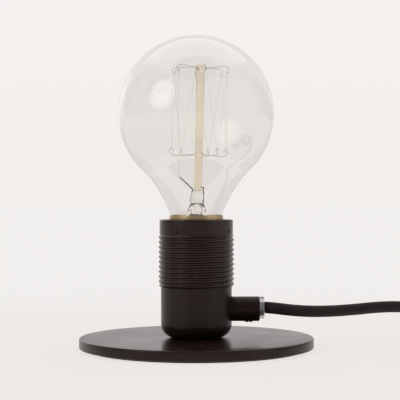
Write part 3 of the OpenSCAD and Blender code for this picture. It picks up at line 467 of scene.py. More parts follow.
def foam_material():
    material, made = new_material("pad_foam")
    cells = object_texture(made, "ShaderNodeTexVoronoi", 1800.0).outputs["Distance"]
    # The cells' pits are painted darker than their rims: painted shade in the foam's pits.
    ramp = made.add("ShaderNodeValToRGB", Fac=cells)
    ramp.color_ramp.elements[0].color = (0.012, 0.012, 0.012, 1.0)
    ramp.color_ramp.elements[1].color = (0.035, 0.035, 0.035, 1.0)
    principled(made, Base_Color=ramp.outputs["Color"], Normal=relief(made, cells, 0.6, 0.15),
               Roughness=0.95)
    return material


pad = turned("foot_pad", [(RECESS_R, 1.0), (PAD_R, 1.0)] + arc(PAD_R - 0.2, 0.2, 0.2, 0, -90, 3)
             + arc(RECESS_R + 0.2, 0.2, 0.2, 270, 180, 3), foam_material())
stand_for(pad, "stand", "pad", "base_pad")

# ---- Cup and cord outlet ----
# A drawn steel cup with a well rounded lower edge stands on the foot, and a short turned tube is
# nutted through its wall. A slotted screw from below clamps a clear nylon bush round the cord.
CUP_R, CUP_CORNER, CUP_WALL, SHOULDER_Z = 18.15, 7.0, 1.4, 32.0
NECK_R, NECK_TOP, OUTLET_Z, OUTLET_R = 17.4, 38.0, 20.5, 6.3
CORD_Z, CORD_EXIT_X, OUTLET_END, CUP_HOLE_R = 21.1, 34.7, 32.3, 5.05
CLAMP_X, CLAMP_LOW_Z, CLAMP_HEAD_TOP_Z = 26.8, 13.55, 15.1


def shape_by_modifiers(piece):
    """Turns what a piece's modifiers make of it into its own mesh. Sharp edges stay crisp."""
    bpy.context.view_layer.update()
    shaped = bpy.data.meshes.new_from_object(piece.evaluated_get(
        bpy.context.evaluated_depsgraph_get()))
    piece.modifiers.clear()
    piece.data = shaped
    shaped.shade_smooth()
    shaped.set_sharp_from_angle(angle=math.radians(30))


def cut_away(piece, cutter):
    """Cuts cutter out of piece and deletes it."""
    cut = piece.modifiers.new("cut", "BOOLEAN")
    cut.operation, cut.solver, cut.object = "DIFFERENCE", "EXACT", cutter
    shape_by_modifiers(piece)
    bpy.data.objects.remove(cutter)


def lay_along_x(piece, height_mm):
    """Turns a piece made about the lamp's axis so that it points along +X at a height."""
    piece.data.transform(Matrix.Translation((0, 0, height_mm * MM))
                         @ Matrix.Rotation(math.radians(90), 4, "Y"))


cup = turned("cup", [(CUP_HOLE_R, PLATE_TOP), (CUP_R - CUP_CORNER, PLATE_TOP)]
             + arc(CUP_R - CUP_CORNER, PLATE_TOP + CUP_CORNER, CUP_CORNER, -90, 0, 24)[1:]
             + [(CUP_R, SHOULDER_Z - 0.15), (CUP_R - 0.15, SHOULDER_Z), (NECK_R, SHOULDER_Z),
                (NECK_R, NECK_TOP), (NECK_R - CUP_WALL, NECK_TOP),
                (NECK_R - CUP_WALL, SHOULDER_Z - 1.5), (CUP_R - CUP_WALL, SHOULDER_Z - 1.5)]
             + arc(CUP_R - CUP_CORNER, PLATE_TOP + CUP_CORNER, CUP_CORNER - CUP_WALL, 0, -90,
                   16)[1:]
             + [(CUP_HOLE_R, PLATE_TOP + CUP_WALL)], dark_coat)
outlet_hole = turned("outlet_hole", [(0, 12.0), (CUP_HOLE_R, 12.0), (CUP_HOLE_R, 22.0),
                                     (0, 22.0)], dark_coat, 96, closed=False)
lay_along_x(outlet_hole, OUTLET_Z)
cut_away(cup, outlet_hole)
stand_for(cup, "stand", "black_coat", "lower_cap")

outlet = turned("outlet_tube", [(3.9, 10.0), (5.0, 10.0), (5.0, 16.2), (OUTLET_R, 16.2)]
                + arc(OUTLET_R - 0.5, OUTLET_END - 0.5, 0.5, 0, 90, 6)
                + [(4.7, OUTLET_END), (4.7, 23.3), (3.9, 23.3)], outlet_coat, 128)
lay_along_x(outlet, OUTLET_Z)
cup_form = turned("cup_form", [(0, 4.0), (CUP_R + 0.05, 4.0), (CUP_R + 0.05, 36.0), (0, 36.0)],
                  dark_coat, ROUND, closed=False)
inner_form = turned("inner_form", [(0, 3.0), (5.02, 3.0), (5.02, 40.0), (0, 40.0)], dark_coat, 128,
                    closed=False)
lay_along_x(inner_form, OUTLET_Z)
cut_away(cup_form, inner_form)
cut_away(outlet, cup_form)
screw_hole = turned("screw_hole", [(0, 10.0), (2.9, 10.0), (2.9, CLAMP_HEAD_TOP_Z),
                                   (2.05, CLAMP_HEAD_TOP_Z), (2.05, 19.0), (0, 19.0)],
                    dark_coat, 64, closed=False)
screw_hole.data.transform(Matrix.Translation((CLAMP_X * MM, 0, 0)))
cut_away(outlet, screw_hole)
stand_for(outlet, "stand", "black_coat", "outlet_tube")

clamp_screw = turned("clamp_screw", [(0, CLAMP_LOW_Z)]
                     + arc(0, CLAMP_LOW_Z + 5.0, 5.0, -84, -57, 6)
                     + [(2.8, CLAMP_HEAD_TOP_Z), (2.0, CLAMP_HEAD_TOP_Z + 0.05), (2.0, 17.0),
                        (0, 17.05)], dark_coat, 64, closed=False)
clamp_screw.data.transform(Matrix.Translation((CLAMP_X * MM, 0, 0)))
slot_form = bpy.data.objects.new("slot_form", bpy.data.meshes.new("slot_form"))
scene.collection.objects.link(slot_form)
made = bmesh.new()
bmesh.ops.create_cube(made, size=1.0, matrix=Matrix.Translation((CLAMP_X * MM, 0, CLAMP_LOW_Z * MM))
                      @ Matrix.Diagonal((0.8 * MM, 12 * MM, 1.3 * MM, 1.0)))
made.to_mesh(slot_form.data)
made.free()
cut_away(clamp_screw, slot_form)
stand_for(clamp_screw, "stand", "black_coat", "clamp_screw")


def nylon_material():
    material, made = new_material("clear_nylon")
    haze = object_texture(made, "ShaderNodeTexNoise", 700.0, Detail=3.0).outputs["Fac"]
    principled(made, Roughness=made.between(haze, 0.10, 0.32), IOR=1.53, Transmission_Weight=0.85,
               Base_Color=made.blend(haze, (0.82, 0.84, 0.86), (0.93, 0.94, 0.94)))
    return material


clear_nylon = nylon_material()
bush = turned("cord_bush", [(3.05, 23.8), (4.0, 23.8), (4.0, OUTLET_END), (5.35, OUTLET_END)]
              + arc(5.35, OUTLET_END + 0.25, 0.25, -90, 0, 4)[1:]
              + arc(5.05, CORD_EXIT_X - 0.55, 0.55, 0, 90, 6)
              + arc(3.45, CORD_EXIT_X - 0.4, 0.4, 90, 180, 5), clear_nylon, 128)
lay_along_x(bush, CORD_Z)
stand_for(bush, "stand", "clear_plastic", "cord_grip")

# ---- Threaded shell ----
# The lampholder's steel outer shell: its barrel has a rolled 2.5 mm thread for a shade ring, its
# smooth band is crimped on at four dents, and its lip turns in over the ceramic.
THREAD_R, THREAD_DEPTH, THREAD_PITCH, BAND_R, BAND_Z = 19.35, 0.6, 2.5, 18.85, 58.9
LIP_R, LIP_Z, RIM_Z, SHELL_BORE_R = 15.7, 65.2, 66.4, 17.5
THREAD_TURNED, CRIMP_FIRST, CRIMP_Z = 215.0, -30.0, 60.4


class Tree(Nodes):
    """A Geometry Nodes tree under construction, and the objects it makes."""

    def __init__(self, name, inputs):
        super().__init__(bpy.data.node_groups.new(name, "GeometryNodeTree"))
        face = self.tree.interface
        face.new_socket("Geometry", in_out="INPUT", socket_type="NodeSocketGeometry")
        for label, kind, value in inputs:
            socket = face.new_socket(label, in_out="INPUT", socket_type=kind)
            if value is not None:
                socket.default_value = value
        face.new_socket("Geometry", in_out="OUTPUT", socket_type="NodeSocketGeometry")
        self.given = self.add("NodeGroupInput").outputs

    def vector(self, *values):
        return self.listed("ShaderNodeCombineXYZ", (), *values)

    def end(self, geometry, material):
        real = self.add("GeometryNodeRealizeInstances", Geometry=geometry)
        painted = self.add("GeometryNodeSetMaterial", Geometry=real.outputs[0], Material=material)
        self.add("NodeGroupOutput", Geometry=painted.outputs[0])

    def make(self, name, mesh=None, **values):
        """The tree's result on an object that starts as mesh, as a plain mesh object."""
        piece = bpy.data.objects.new(name, mesh or bpy.data.meshes.new(name))
        scene.collection.objects.link(piece)
        modifier = piece.modifiers.new("form", "NODES")
        modifier.node_group = self.tree
        for item in self.tree.interface.items_tree:
            if item.item_type == "SOCKET" and item.in_out == "INPUT" and item.name in values:
                modifier[item.identifier] = values[item.name]
        shape_by_modifiers(piece)
        piece.data.name = name
        return piece


FLOAT, COUNT, STUFF = "NodeSocketFloat", "NodeSocketInt", "NodeSocketMaterial"


def thread_tree():
    """A round skin from Low to High whose radius follows a screw thread, fading at both ends."""
    tree = Tree("rolled_thread", [
        ("Root", FLOAT, 0.01), ("Depth", FLOAT, 0.001), ("Pitch", FLOAT, 0.0025),
        ("Low", FLOAT, 0.0), ("High", FLOAT, 0.02), ("Fade low", FLOAT, 0.001),
        ("Fade high", FLOAT, 0.001), ("Turned", FLOAT, 0.0), ("Fullness", FLOAT, 1.5),
        ("Sides", COUNT, 240), ("Rows", COUNT, 160), ("Material", STUFF, None)])
    given, total = tree.given, tree.sum
    grid = tree.add("GeometryNodeMeshGrid", Size_X=1.0, Size_Y=1.0, Vertices_X=given["Sides"],
                    Vertices_Y=given["Rows"])
    spot = tree.add("GeometryNodeInputPosition").outputs[0]
    place = tree.add("ShaderNodeSeparateXYZ", Vector=spot)
    angle = total("MULTIPLY", total("ADD", place.outputs["X"], 0.5), 2 * math.pi)
    height = total("MULTIPLY_ADD", total("ADD", place.outputs["Y"], 0.5),
                   total("SUBTRACT", given["High"], given["Low"]), given["Low"])
    turns = total("DIVIDE", height, given["Pitch"])
    phase = total("ADD", total("SUBTRACT", total("MULTIPLY", turns, 2 * math.pi), angle),
                  given["Turned"])
    wave = total("MULTIPLY", total("COSINE", phase), given["Fullness"])
    crest = total("MULTIPLY_ADD", total("MAXIMUM", total("MINIMUM", wave, 1.0), -1.0), 0.5, 0.5)
    rising = total("DIVIDE", total("SUBTRACT", height, given["Low"]), given["Fade low"])
    falling = total("DIVIDE", total("SUBTRACT", given["High"], height), given["Fade high"])
    fade = total("MINIMUM", total("MINIMUM", rising, falling), 1.0)
    radius = total("MULTIPLY_ADD", total("MULTIPLY", crest, given["Depth"]), fade, given["Root"])
    skin = tree.add("GeometryNodeSetPosition", Geometry=grid.outputs[0], Position=tree.vector(
        total("MULTIPLY", radius, total("COSINE", angle)),
        total("MULTIPLY", radius, total("SINE", angle)), height))
    closed = tree.add("GeometryNodeMergeByDistance", Geometry=skin.outputs[0], Distance=1e-6)
    tree.end(closed.outputs[0], given["Material"])
    return tree


rolled_thread = thread_tree()
barrel_skin = rolled_thread.make(
    "barrel_skin", Root=(THREAD_R - THREAD_DEPTH) * MM, Depth=THREAD_DEPTH * MM,
    Pitch=THREAD_PITCH * MM, Low=SHOULDER_Z * MM, High=BAND_Z * MM,
    Turned=math.radians(THREAD_TURNED), Sides=289, Rows=270, Material=shell_coat,
    **{"Fade low": 0.8 * MM, "Fade high": 1.2 * MM})


def rings_joined(name, skin, outline_mm, sides, material):
    """Joins a round skin to a turned outline that starts and ends on the skin's own end rings."""
    rest = turned(name, outline_mm, material, sides, closed=False)
    made = bmesh.new()
    made.from_mesh(skin.data)
    made.from_mesh(rest.data)
    bmesh.ops.remove_doubles(made, verts=made.verts, dist=2e-5)
    bmesh.ops.recalc_face_normals(made, faces=made.faces)
    made.to_mesh(rest.data)
    made.free()
    bpy.data.objects.remove(skin)
    rest.data.shade_smooth()
    rest.data.set_sharp_from_angle(angle=math.radians(34))
    return rest


root_r = THREAD_R - THREAD_DEPTH
shell = rings_joined(
    "threaded_shell", barrel_skin,
    [(root_r, BAND_Z), (BAND_R, BAND_Z + 0.12)]
    + [(BAND_R, BAND_Z + 0.3 + 0.2 * k) for k in range(32)]
    + arc(BAND_R - 0.8, RIM_Z - 0.8, 0.8, 0, 90, 8)
    + arc(LIP_R + 0.3, RIM_Z - 0.3, 0.3, 90, 180, 4)
    + [(LIP_R, LIP_Z), (SHELL_BORE_R, LIP_Z), (SHELL_BORE_R, SHOULDER_Z), (root_r, SHOULDER_Z)],
    288, shell_coat)


def press_in_dents(piece, first, count, height, deep, wide, tall):
    """Presses upright oval dents into a round band, as a crimping tool does."""
    for v in piece.data.vertices:
        radius = math.hypot(v.co.x, v.co.y)
        if radius < (BAND_R - 0.3) * MM or abs(v.co.z - height * MM) > tall * MM:
            continue
        angle = math.degrees(math.atan2(v.co.y, v.co.x))
        for k in range(count):
            off = (angle - first - k * 360 / count + 180) % 360 - 180
            across = math.radians(off) * radius / MM / wide
            up = (v.co.z / MM - height) / tall
            near = 1 - math.hypot(across, up)
            if near > 0:
                new = radius - deep * MM * min(1.0, 2.2 * near) ** 1.5
                v.co.x, v.co.y = v.co.x * new / radius, v.co.y * new / radius


press_in_dents(shell, CRIMP_FIRST, 4, CRIMP_Z, 0.75, 1.0, 1.45)
stand_for(shell, "stand", "black_coat", "upper_shell")

# ---- Bulb: cap and glass ----
# A clear blown globe, 80 mm across, drawn in to a neck that is cemented into a drawn brass screw
# cap. The cap ends in black glass with a button of solder, which carries the other pole.
GLOBE_R, GLOBE_Z, TANGENT_ANGLE, GLASS_T = 40.0, 120.7, 44.0, 0.9
WAIST, THROAT_R, CAP_TOP_Z, NECK_FOOT_Z = (19.8, 84.1), 13.0, 68.5, 64.5
SCREW_ROOT_R, SCREW_DEPTH, SCREW_PITCH, SCREW_LOW, SCREW_HIGH = 12.1, 1.0, 3.63, 49.2, 62.5


def glass_outline(depth):
    """The globe's outline at a depth in the glass, from its top to the end of its neck, in mm."""
    radius = GLOBE_R - depth
    tangent = math.radians(TANGENT_ANGLE)
    top = Vector((radius * math.sin(tangent), GLOBE_Z - radius * math.cos(tangent)))
    waist = Vector((WAIST[0] - 1.2 * depth, WAIST[1]))
    throat = Vector((THROAT_R - depth, CAP_TOP_Z))
    above, below = waist + 0.97 * (top - waist), waist + 0.8 * (throat - waist)
    points = [(radius * math.sin(math.radians(a)), GLOBE_Z - radius * math.cos(math.radians(a)))
              for a in [180 - 2.5 * k for k in range(55)]]
    for i in range(25):
        s = i / 24
        p = (1 - s) ** 2 * above + 2 * s * (1 - s) * waist + s * s * below
        points.append((p.x, p.y))
    return points + [(THROAT_R - depth, CAP_TOP_Z), (THROAT_R - 0.5 - depth, NECK_FOOT_Z)]


GLASS_IOR = 1.5


def clear_glass_material(name, tint, roughness=0.0, waves=0.0):
    """Clear glass that lets the lamps' rays through, with faint drawn waves in its surface."""
    material, made = new_material(name)
    stretch = made.add("ShaderNodeMapping", Scale=(1.0, 1.0, 0.35),
                       Vector=made.add("ShaderNodeTexCoord").outputs["Object"])
    drawn = made.add("ShaderNodeTexNoise", Vector=stretch.outputs[0], Scale=60.0,
                     Detail=1.0).outputs["Fac"]
    glass = made.add("ShaderNodeBsdfPrincipled", IOR=GLASS_IOR, Transmission_Weight=1.0,
                     Base_Color=made.blend(drawn, tint, [min(1.0, c + 0.012) for c in tint]),
                     Roughness=roughness, Normal=relief(made, drawn, waves, 0.3))
    clear = made.add("ShaderNodeBsdfTransparent", Color=(*[c ** 0.5 for c in tint], 1.0))
    shadow_ray = made.add("ShaderNodeLightPath").outputs["Is Shadow Ray"]
    made.add("ShaderNodeOutputMaterial", Surface=made.listed(
        "ShaderNodeMixShader", (), shadow_ray, glass.outputs[0], clear.outputs[0]))
    return material


globe_glass = clear_glass_material("globe_glass", (0.935, 0.918, 0.905), waves=0.05)
globe = turned("globe", glass_outline(0.0) + glass_outline(GLASS_T)[::-1], globe_glass, 360)
stand_for(globe, "bulb", "clear_glass", "bulb_glass")


def wear_group():
    """Handling marks on bare metal: fine rubbed streaks along a direction, and dull blotches."""
    group, made, given = new_group("metal_wear", ("Size", "Along"), ("Streaks", "Blotches"),
                                   vectors=("Along",))
    where = made.add("ShaderNodeTexCoord").outputs["Object"]
    stretch = made.add("ShaderNodeMapping", Vector=where, Scale=given["Along"]).outputs[0]
    finer = made.sum("MULTIPLY", given["Size"], 6.0)
    streaks, blotches = (made.add("ShaderNodeTexNoise", Vector=vector, Scale=size, Detail=detail)
                         .outputs["Fac"] for vector, size, detail in (
                             (stretch, finer, 4.0), (where, given["Size"], 5.0)))
    made.add("NodeGroupOutput", Streaks=streaks, Blotches=blotches)
    return group


metal_wear = wear_group()


def metal_material(name, bright, dull, roughness, size=120.0, along=(1.0, 1.0, 8.0),
                   metallic=1.0):
    material, made = new_material(name)
    wear = made.add("ShaderNodeGroup", {"node_tree": metal_wear}, Size=size, Along=along).outputs
    principled(made, Base_Color=made.blend(wear["Blotches"], dull, bright), Metallic=metallic,
               Roughness=made.between(wear["Streaks"], roughness + 0.08, roughness - 0.05,
                                      0.3, 0.7),
               Normal=relief(made, wear["Streaks"], 0.15, 0.02))
    return material


cap_brass = metal_material("cap_brass", (0.62, 0.46, 0.27), (0.45, 0.33, 0.19), 0.34)
screw_skin = rolled_thread.make(
    "screw_skin", Root=SCREW_ROOT_R * MM, Depth=SCREW_DEPTH * MM, Pitch=SCREW_PITCH * MM,
    Low=SCREW_LOW * MM, High=SCREW_HIGH * MM, Fullness=1.15, Sides=161, Rows=96, Material=cap_brass,
    **{"Fade low": 1.2 * MM, "Fade high": 1.2 * MM})
cap = rings_joined(
    "bulb_cap", screw_skin,
    [(SCREW_ROOT_R, SCREW_HIGH), (12.7, 63.2), (13.7, 63.9), (13.8, 64.3), (13.8, 67.9)]
    + arc(13.65, 68.35, 0.15, 0, 90, 3)
    + [(13.15, 68.5), (13.15, 64.2), (12.0, 63.2), (11.3, 62.4), (11.3, 49.6), (10.9, 48.6),
       (10.7, 48.0), (11.2, 48.0), (11.7, 48.5), (SCREW_ROOT_R, SCREW_LOW)], 160, cap_brass)
stand_for(cap, "bulb", "cap_brass", "cap_shell")

# ---- Filament mount ----
# Inside the globe a glass stem, pinched flat round two lead wires, carries a pale glass rod. Six
# molybdenum wires at its head and five lower down end in pigtail eyes that hold the filament.
PRESS_X, PRESS_TOP_Z, PRESS_H = 0.9, 81.5, 6.7
ROD_R, ROD_L, ROD_LEAN, HUB_R, LOWER_UP = 1.95, 64.0, 1.3, 2.6, 18.0
HUB_UP = ROD_L - 0.8
UPPER_REACH, LOWER_REACH, FIRST_HOOK, HOOKS = 14.5, 14.2, 220.0, 6
EYE_W, EYE_H, HOOK_WIRE, FILAMENT_D, LEAD_WIRE, OUTER_WIRE = 0.9, 1.5, 0.28, 0.12, 0.55, 0.36
STEM_TILT = math.degrees(math.atan2(PRESS_X, PRESS_TOP_Z - NECK_FOOT_Z - 0.5))


def set_on_press(tilt):
    """The place and tilt of what stands on the press, as a matrix for points in mm."""
    return (Matrix.Scale(MM, 4) @ Matrix.Translation((PRESS_X, 0, PRESS_TOP_Z))
            @ Matrix.Rotation(math.radians(tilt), 4, "Y"))


def lofted(name, rings, material, place, sides=64):
    """A closed skin over oval rings of (height, half width, half depth, squareness), in mm."""
    circle = [(math.cos(2 * math.pi * k / sides), math.sin(2 * math.pi * k / sides))
              for k in range(sides)]
    stack = [[place @ Vector((a * math.copysign(abs(c) ** (2 / power), c),
                              b * math.copysign(abs(s) ** (2 / power), s), z)) for c, s in circle]
             for z, a, b, power in rings]
    return add_piece(name, skinned(name, [stack]), material, 40)


stem_glass = clear_glass_material("stem_glass", (0.97, 0.97, 0.95), 0.02)
stem = lofted("stem", [
    (-7.4, 0.5, 0.25, 2), (-8.0, 1.5, 0.8, 2), (-9.0, 2.8, 2.0, 2), (-10.2, 3.6, 3.4, 2),
    (-11.4, 3.95, 3.95, 2), (-12.6, 4.2, 4.2, 2), (-13.8, 4.8, 4.8, 2), (-15.0, 5.7, 5.7, 2),
    (-16.1, 7.3, 7.3, 2), (-17.0, 9.4, 9.4, 2), (-17.4, 10.4, 10.4, 2),
    (-17.4, 10.9, 10.9, 2), (-17.3, 11.25, 11.25, 2), (-16.7, 11.3, 11.3, 2), (-16.2, 9.6, 9.6, 2),
    (-15.3, 7.5, 7.5, 2), (-14.2, 6.1, 6.1, 2), (-13.2, 5.3, 5.3, 2), (-12.0, 4.75, 4.75, 2),
    (-10.8, 4.6, 4.6, 2), (-9.6, 4.5, 4.3, 2), (-8.6, 4.2, 3.5, 2.1), (-7.8, 3.8, 2.6, 2.4),
    (-7.1, 3.5, 2.0, 2.8), (-6.4, 3.36, 1.68, 3.2), (-5.2, 3.34, 1.6, 3.6), (-3.4, 3.34, 1.58, 3.6),
    (-1.4, 3.34, 1.6, 3.4), (-0.5, 3.2, 1.56, 3.0), (-0.1, 2.8, 1.4, 2.6), (0.0, 2.2, 1.2, 2.2),
    ], stem_glass, set_on_press(STEM_TILT))
stand_for(stem, "bulb", "stem_glass", "stem_flare")

rod_glass = clear_glass_material("rod_glass", (0.90, 0.83, 0.66), 0.12)
rod_outline = ([(0, 0.0), (ROD_R, 0.05), (ROD_R, LOWER_UP - 1.6)]
               + [(ROD_R + 0.6 * math.sin(math.pi * k / 12) ** 1.5, LOWER_UP - 1.4 + 2.8 * k / 12)
                  for k in range(1, 12)]
               + [(ROD_R, LOWER_UP + 1.6), (ROD_R, HUB_UP - 2.4)]
               + [(ROD_R + (HUB_R - ROD_R) * math.sin(math.pi / 2 * k / 8),
                   HUB_UP - 2.2 + 1.2 * k / 8) for k in range(1, 9)]
               + arc(HUB_R - 0.7, ROD_L - 0.7, 0.7, 0, 90, 6) + [(0, ROD_L)])
rod = turned("glass_rod_fine", rod_outline, rod_glass, 64, closed=False)
rod.data.transform(Matrix.Scale(1 / MM, 4))
rod.data.transform(set_on_press(ROD_LEAN))
stand_for(rod, "bulb", "rod_glass", "glass_rod")


def wire_mesh(name, runs, diameter, sides=8):
    """Round wires along runs of points in mm, each closed at its ends, as one mesh in mm."""
    stacks = []
    for run in runs:
        run = [Vector(p) for p in run]
        stack, across = [], heading(run, 0).orthogonal().normalized()
        for i, p in enumerate(run):
            along = heading(run, i)
            across = (across - across.dot(along) * along).normalized()
            stack.append(ring(p, across, along.cross(across), diameter / 2, sides))
        stacks.append(stack)
    return skinned(name, stacks)


def rounded_run(points, step):
    """A smooth run through points in mm, at about one step between its points."""
    return [p / MM for p in smooth_path(points, step * MM, Vector(points[1]) - Vector(points[0]),
                                        Vector(points[-1]) - Vector(points[-2]))]


def hook_points(root, reach, up, side, rise):
    """A support wire in its own plane: out of the bead, a light sag, then an open pigtail eye."""
    arm = [(root - 0.5, 0, up), (root + 0.25 * (reach - root), 0, up + 0.6 * rise),
           (reach - 2.6, 0, up + rise - side * 0.5)]
    eye = [(reach + EYE_W * math.cos(math.radians(a)),
            0.25 * (a + 90) / 270, up + rise + side * (EYE_H + EYE_H * math.sin(math.radians(a))))
           for a in range(-90, 196, 15)]
    return rounded_run(arm + eye, 0.25)


def repeat_tree():
    """Sets Count copies of the incoming wire round an axis, each Step further than the last."""
    tree = Tree("set_round", [("Count", COUNT, 6), ("First", FLOAT, 0.0), ("Step", FLOAT, 1.0),
                              ("Material", STUFF, None)])
    given = tree.given
    turn = tree.sum("MULTIPLY_ADD", tree.add("GeometryNodeInputIndex").outputs[0], given["Step"],
                    given["First"])
    spin = tree.add("FunctionNodeEulerToRotation", Euler=tree.vector(0.0, 0.0, turn))
    points = tree.add("GeometryNodePoints", Count=given["Count"])
    placed = tree.add("GeometryNodeInstanceOnPoints", Points=points.outputs[0],
                      Instance=given["Geometry"], Rotation=spin.outputs[0])
    tree.end(placed.outputs[0], given["Material"])
    return tree


set_round = repeat_tree()
support_wire = metal_material("support_wire", (0.55, 0.49, 0.44), (0.34, 0.30, 0.27), 0.45,
                              size=300.0, along=(4.0, 4.0, 1.0))
lead_wire = metal_material("lead_wire", (0.14, 0.12, 0.11), (0.06, 0.05, 0.045), 0.5,
                           size=300.0, along=(4.0, 4.0, 1.0))
for name, reach, root, up, side, first, count in (
        ("upper_hooks", UPPER_REACH, HUB_R, HUB_UP - 0.4, -1, FIRST_HOOK, HOOKS),
        ("lower_hooks", LOWER_REACH, ROD_R + 0.6, LOWER_UP, 1, FIRST_HOOK - 30.0, HOOKS - 1)):
    hooks = set_round.make(
        name, wire_mesh(name, [hook_points(root, reach, up, side, 0.0)], HOOK_WIRE), Count=count,
        First=math.radians(first), Step=-2 * math.pi / HOOKS, Material=support_wire)
    hooks.data.transform(set_on_press(ROD_LEAN))
    stand_for(hooks, "bulb", "support_wire", name.replace("hooks", "supports"))


def filament_points():
    """Up and down between the eyes, lightly bowed between them, from one lead to the other."""
    def at(reach, angle, up):
        return Vector((reach * math.cos(math.radians(angle)), reach * math.sin(math.radians(angle)),
                       up))
    top, low = HUB_UP - 0.4 - 2 * EYE_H + 0.3, LOWER_UP + 2 * EYE_H - 0.3
    stops = []
    for k in range(2 * HOOKS - 1):
        angle, high = FIRST_HOOK - 30.0 * k, k % 2 == 0
        reach, up, drop = ((UPPER_REACH, top, -1) if high else (LOWER_REACH, low, 1))
        turn = math.degrees(0.35 / reach)
        stops += [at(reach, angle + turn, up + 0.6 * drop), at(reach, angle, up),
                  at(reach, angle - turn, up + 0.6 * drop)]
    ends = [Vector(LEAD_TIPS[0]) + Vector((-0.2, 0, 0.2)),
            Vector(LEAD_TIPS[1]) + Vector((0, 0, 0.2))]
    stops = [ends[0]] + stops + [ends[1]]
    run = []
    for a, b in zip(stops, stops[1:]):
        count = max(1, round((b - a).length / 1.5))
        for k in range(count):
            p = a.lerp(b, k / count)
            bow = 0.35 * math.sin(math.pi * k / count) if count > 5 else 0.0
            run.append(p + Vector((p.x, p.y, 0)).normalized() * bow)
    return run + [stops[-1]]


LEAD_TIPS = [(-9.7, 0, 6.9), (1.8, -6.0, 1.6)]
carbon_wire = metal_material("filament_wire", (0.80, 0.73, 0.66), (0.62, 0.55, 0.48), 0.5,
                             size=500.0, metallic=0.4)
filament_mesh = wire_mesh("filament_fine", [filament_points()], FILAMENT_D, 6)
filament_mesh.transform(set_on_press(ROD_LEAN))
filament = add_piece("filament_fine", filament_mesh, carbon_wire)
stand_for(filament, "bulb", "filament", "filament")


def leaned(point):
    """A point of the rod's leaning frame, in the lamp's frame, both in mm."""
    return set_on_press(ROD_LEAN) @ Vector(point) / MM


CAP_FOOT_Z, PRESS_LOW_Z = 48.0, PRESS_TOP_Z - PRESS_H
outer_runs = [
    [(-2.4, 0, CAP_FOOT_Z + 3.2), (-2.6, 0, NECK_FOOT_Z + 3), (-2.75, 0, PRESS_LOW_Z + 0.8)],
    [(2.4, 0, CAP_FOOT_Z + 3.2), (2.5, 0, NECK_FOOT_Z + 3), (3.2, 0, PRESS_LOW_Z + 0.4)]]
lead_runs = [
    [(-2.75, 0, PRESS_LOW_Z + 0.5), (-2.5, 0, PRESS_TOP_Z - 2.5), leaned((-2.6, 0, 0)),
     leaned((-3.1, 0, 0.8)), leaned(LEAD_TIPS[0])],
    [(3.2, 0, PRESS_LOW_Z + 0.2), (3.7, 0, PRESS_TOP_Z - PRESS_H / 2), leaned((2.6, -0.3, 0)),
     leaned((2.9, -1.2, 1.0)), leaned(LEAD_TIPS[1])]]
outer_wire = metal_material("outer_lead_wire", (0.42, 0.30, 0.24), (0.24, 0.17, 0.14), 0.45,
                            size=300.0)
for name, runs, diameter, material, replaced in (
        ("leads", lead_runs, LEAD_WIRE, lead_wire, ["lead_wires"]),
        ("outer_leads", outer_runs, OUTER_WIRE, outer_wire, [])):
    wires = wire_mesh(name, [rounded_run(run, 0.6) for run in runs], diameter)
    wires.transform(Matrix.Scale(MM, 4))
    stand_for(add_piece(name, wires, material), "bulb", "support_wire", *replaced)

# ---- Switch on the cord ----
# A black moulded in-line switch, 62 mm long: two halves with a fine parting line, a ribbed rocker
# in a sunk window, two screws from below and a tapered soft boot at each end for the cord.
SWITCH_X, SWITCH_Y, SWITCH_L, SWITCH_W, SWITCH_H, SPLIT_Z = 158.0, 47.0, 62.0, 24.0, 17.0, 9.0
ROCKER_L, ROCKER_W, ROCKER_UP, ROCKER_TILT = 20.0, 10.6, 13.2, 7.0
SWITCH_CORNER, SWITCH_SCREW_X, BOOT_SIDES = 8.0, 22.0, 48
SWITCH_MIDDLE = Matrix.Translation(((SWITCH_X + SWITCH_L / 2) * MM, SWITCH_Y * MM, 0))


def rounded_plan(length, width, radius, steps=12):
    """A rectangle with round corners about the origin, in mm."""
    points = []
    for sx, sy, start in ((1, 1, 0), (-1, 1, 90), (-1, -1, 180), (1, -1, 270)):
        points += arc(sx * (length / 2 - radius), sy * (width / 2 - radius), radius, start,
                      start + 90, steps)
    return points


def stacked(name, length, width, radius, levels, material):
    """A closed form over a rounded plan: each level is (height, how far it is drawn in), in mm."""
    mesh = skinned(name, [[[(x * MM, y * MM, z * MM) for x, y in rounded_plan(
        length - 2 * inset, width - 2 * inset, max(radius - inset, 0.4))]
        for z, inset in levels]])
    mesh.transform(SWITCH_MIDDLE)
    return add_piece(name, mesh, material, 35)


def round_edge(z, radius, side, steps=6):
    """Levels of a round edge that ends at height z: side is 1 for an upper edge, -1 for a lower."""
    turn = [math.radians(90 * i / steps) for i in range(steps + 1)]
    levels = [(z - side * radius * (1 - math.sin(a)), radius * (1 - math.cos(a))) for a in turn]
    return levels if side > 0 else levels[::-1]


def moulded_material(name, dark, pale, roughness, grain, depth):
    """Moulded plastic: a spark-eroded grain, a slow drift of tone and lightly rubbed places."""
    material, made = new_material(name)
    cells = object_texture(made, "ShaderNodeTexVoronoi", grain).outputs["Distance"]
    drift = object_texture(made, "ShaderNodeTexNoise", 90.0, Detail=4.0).outputs["Fac"]
    principled(made, Base_Color=made.blend(drift, dark, pale),
               Normal=relief(made, cells, 0.35, depth),
               Roughness=made.between(drift, roughness + 0.07, roughness - 0.07))
    return material


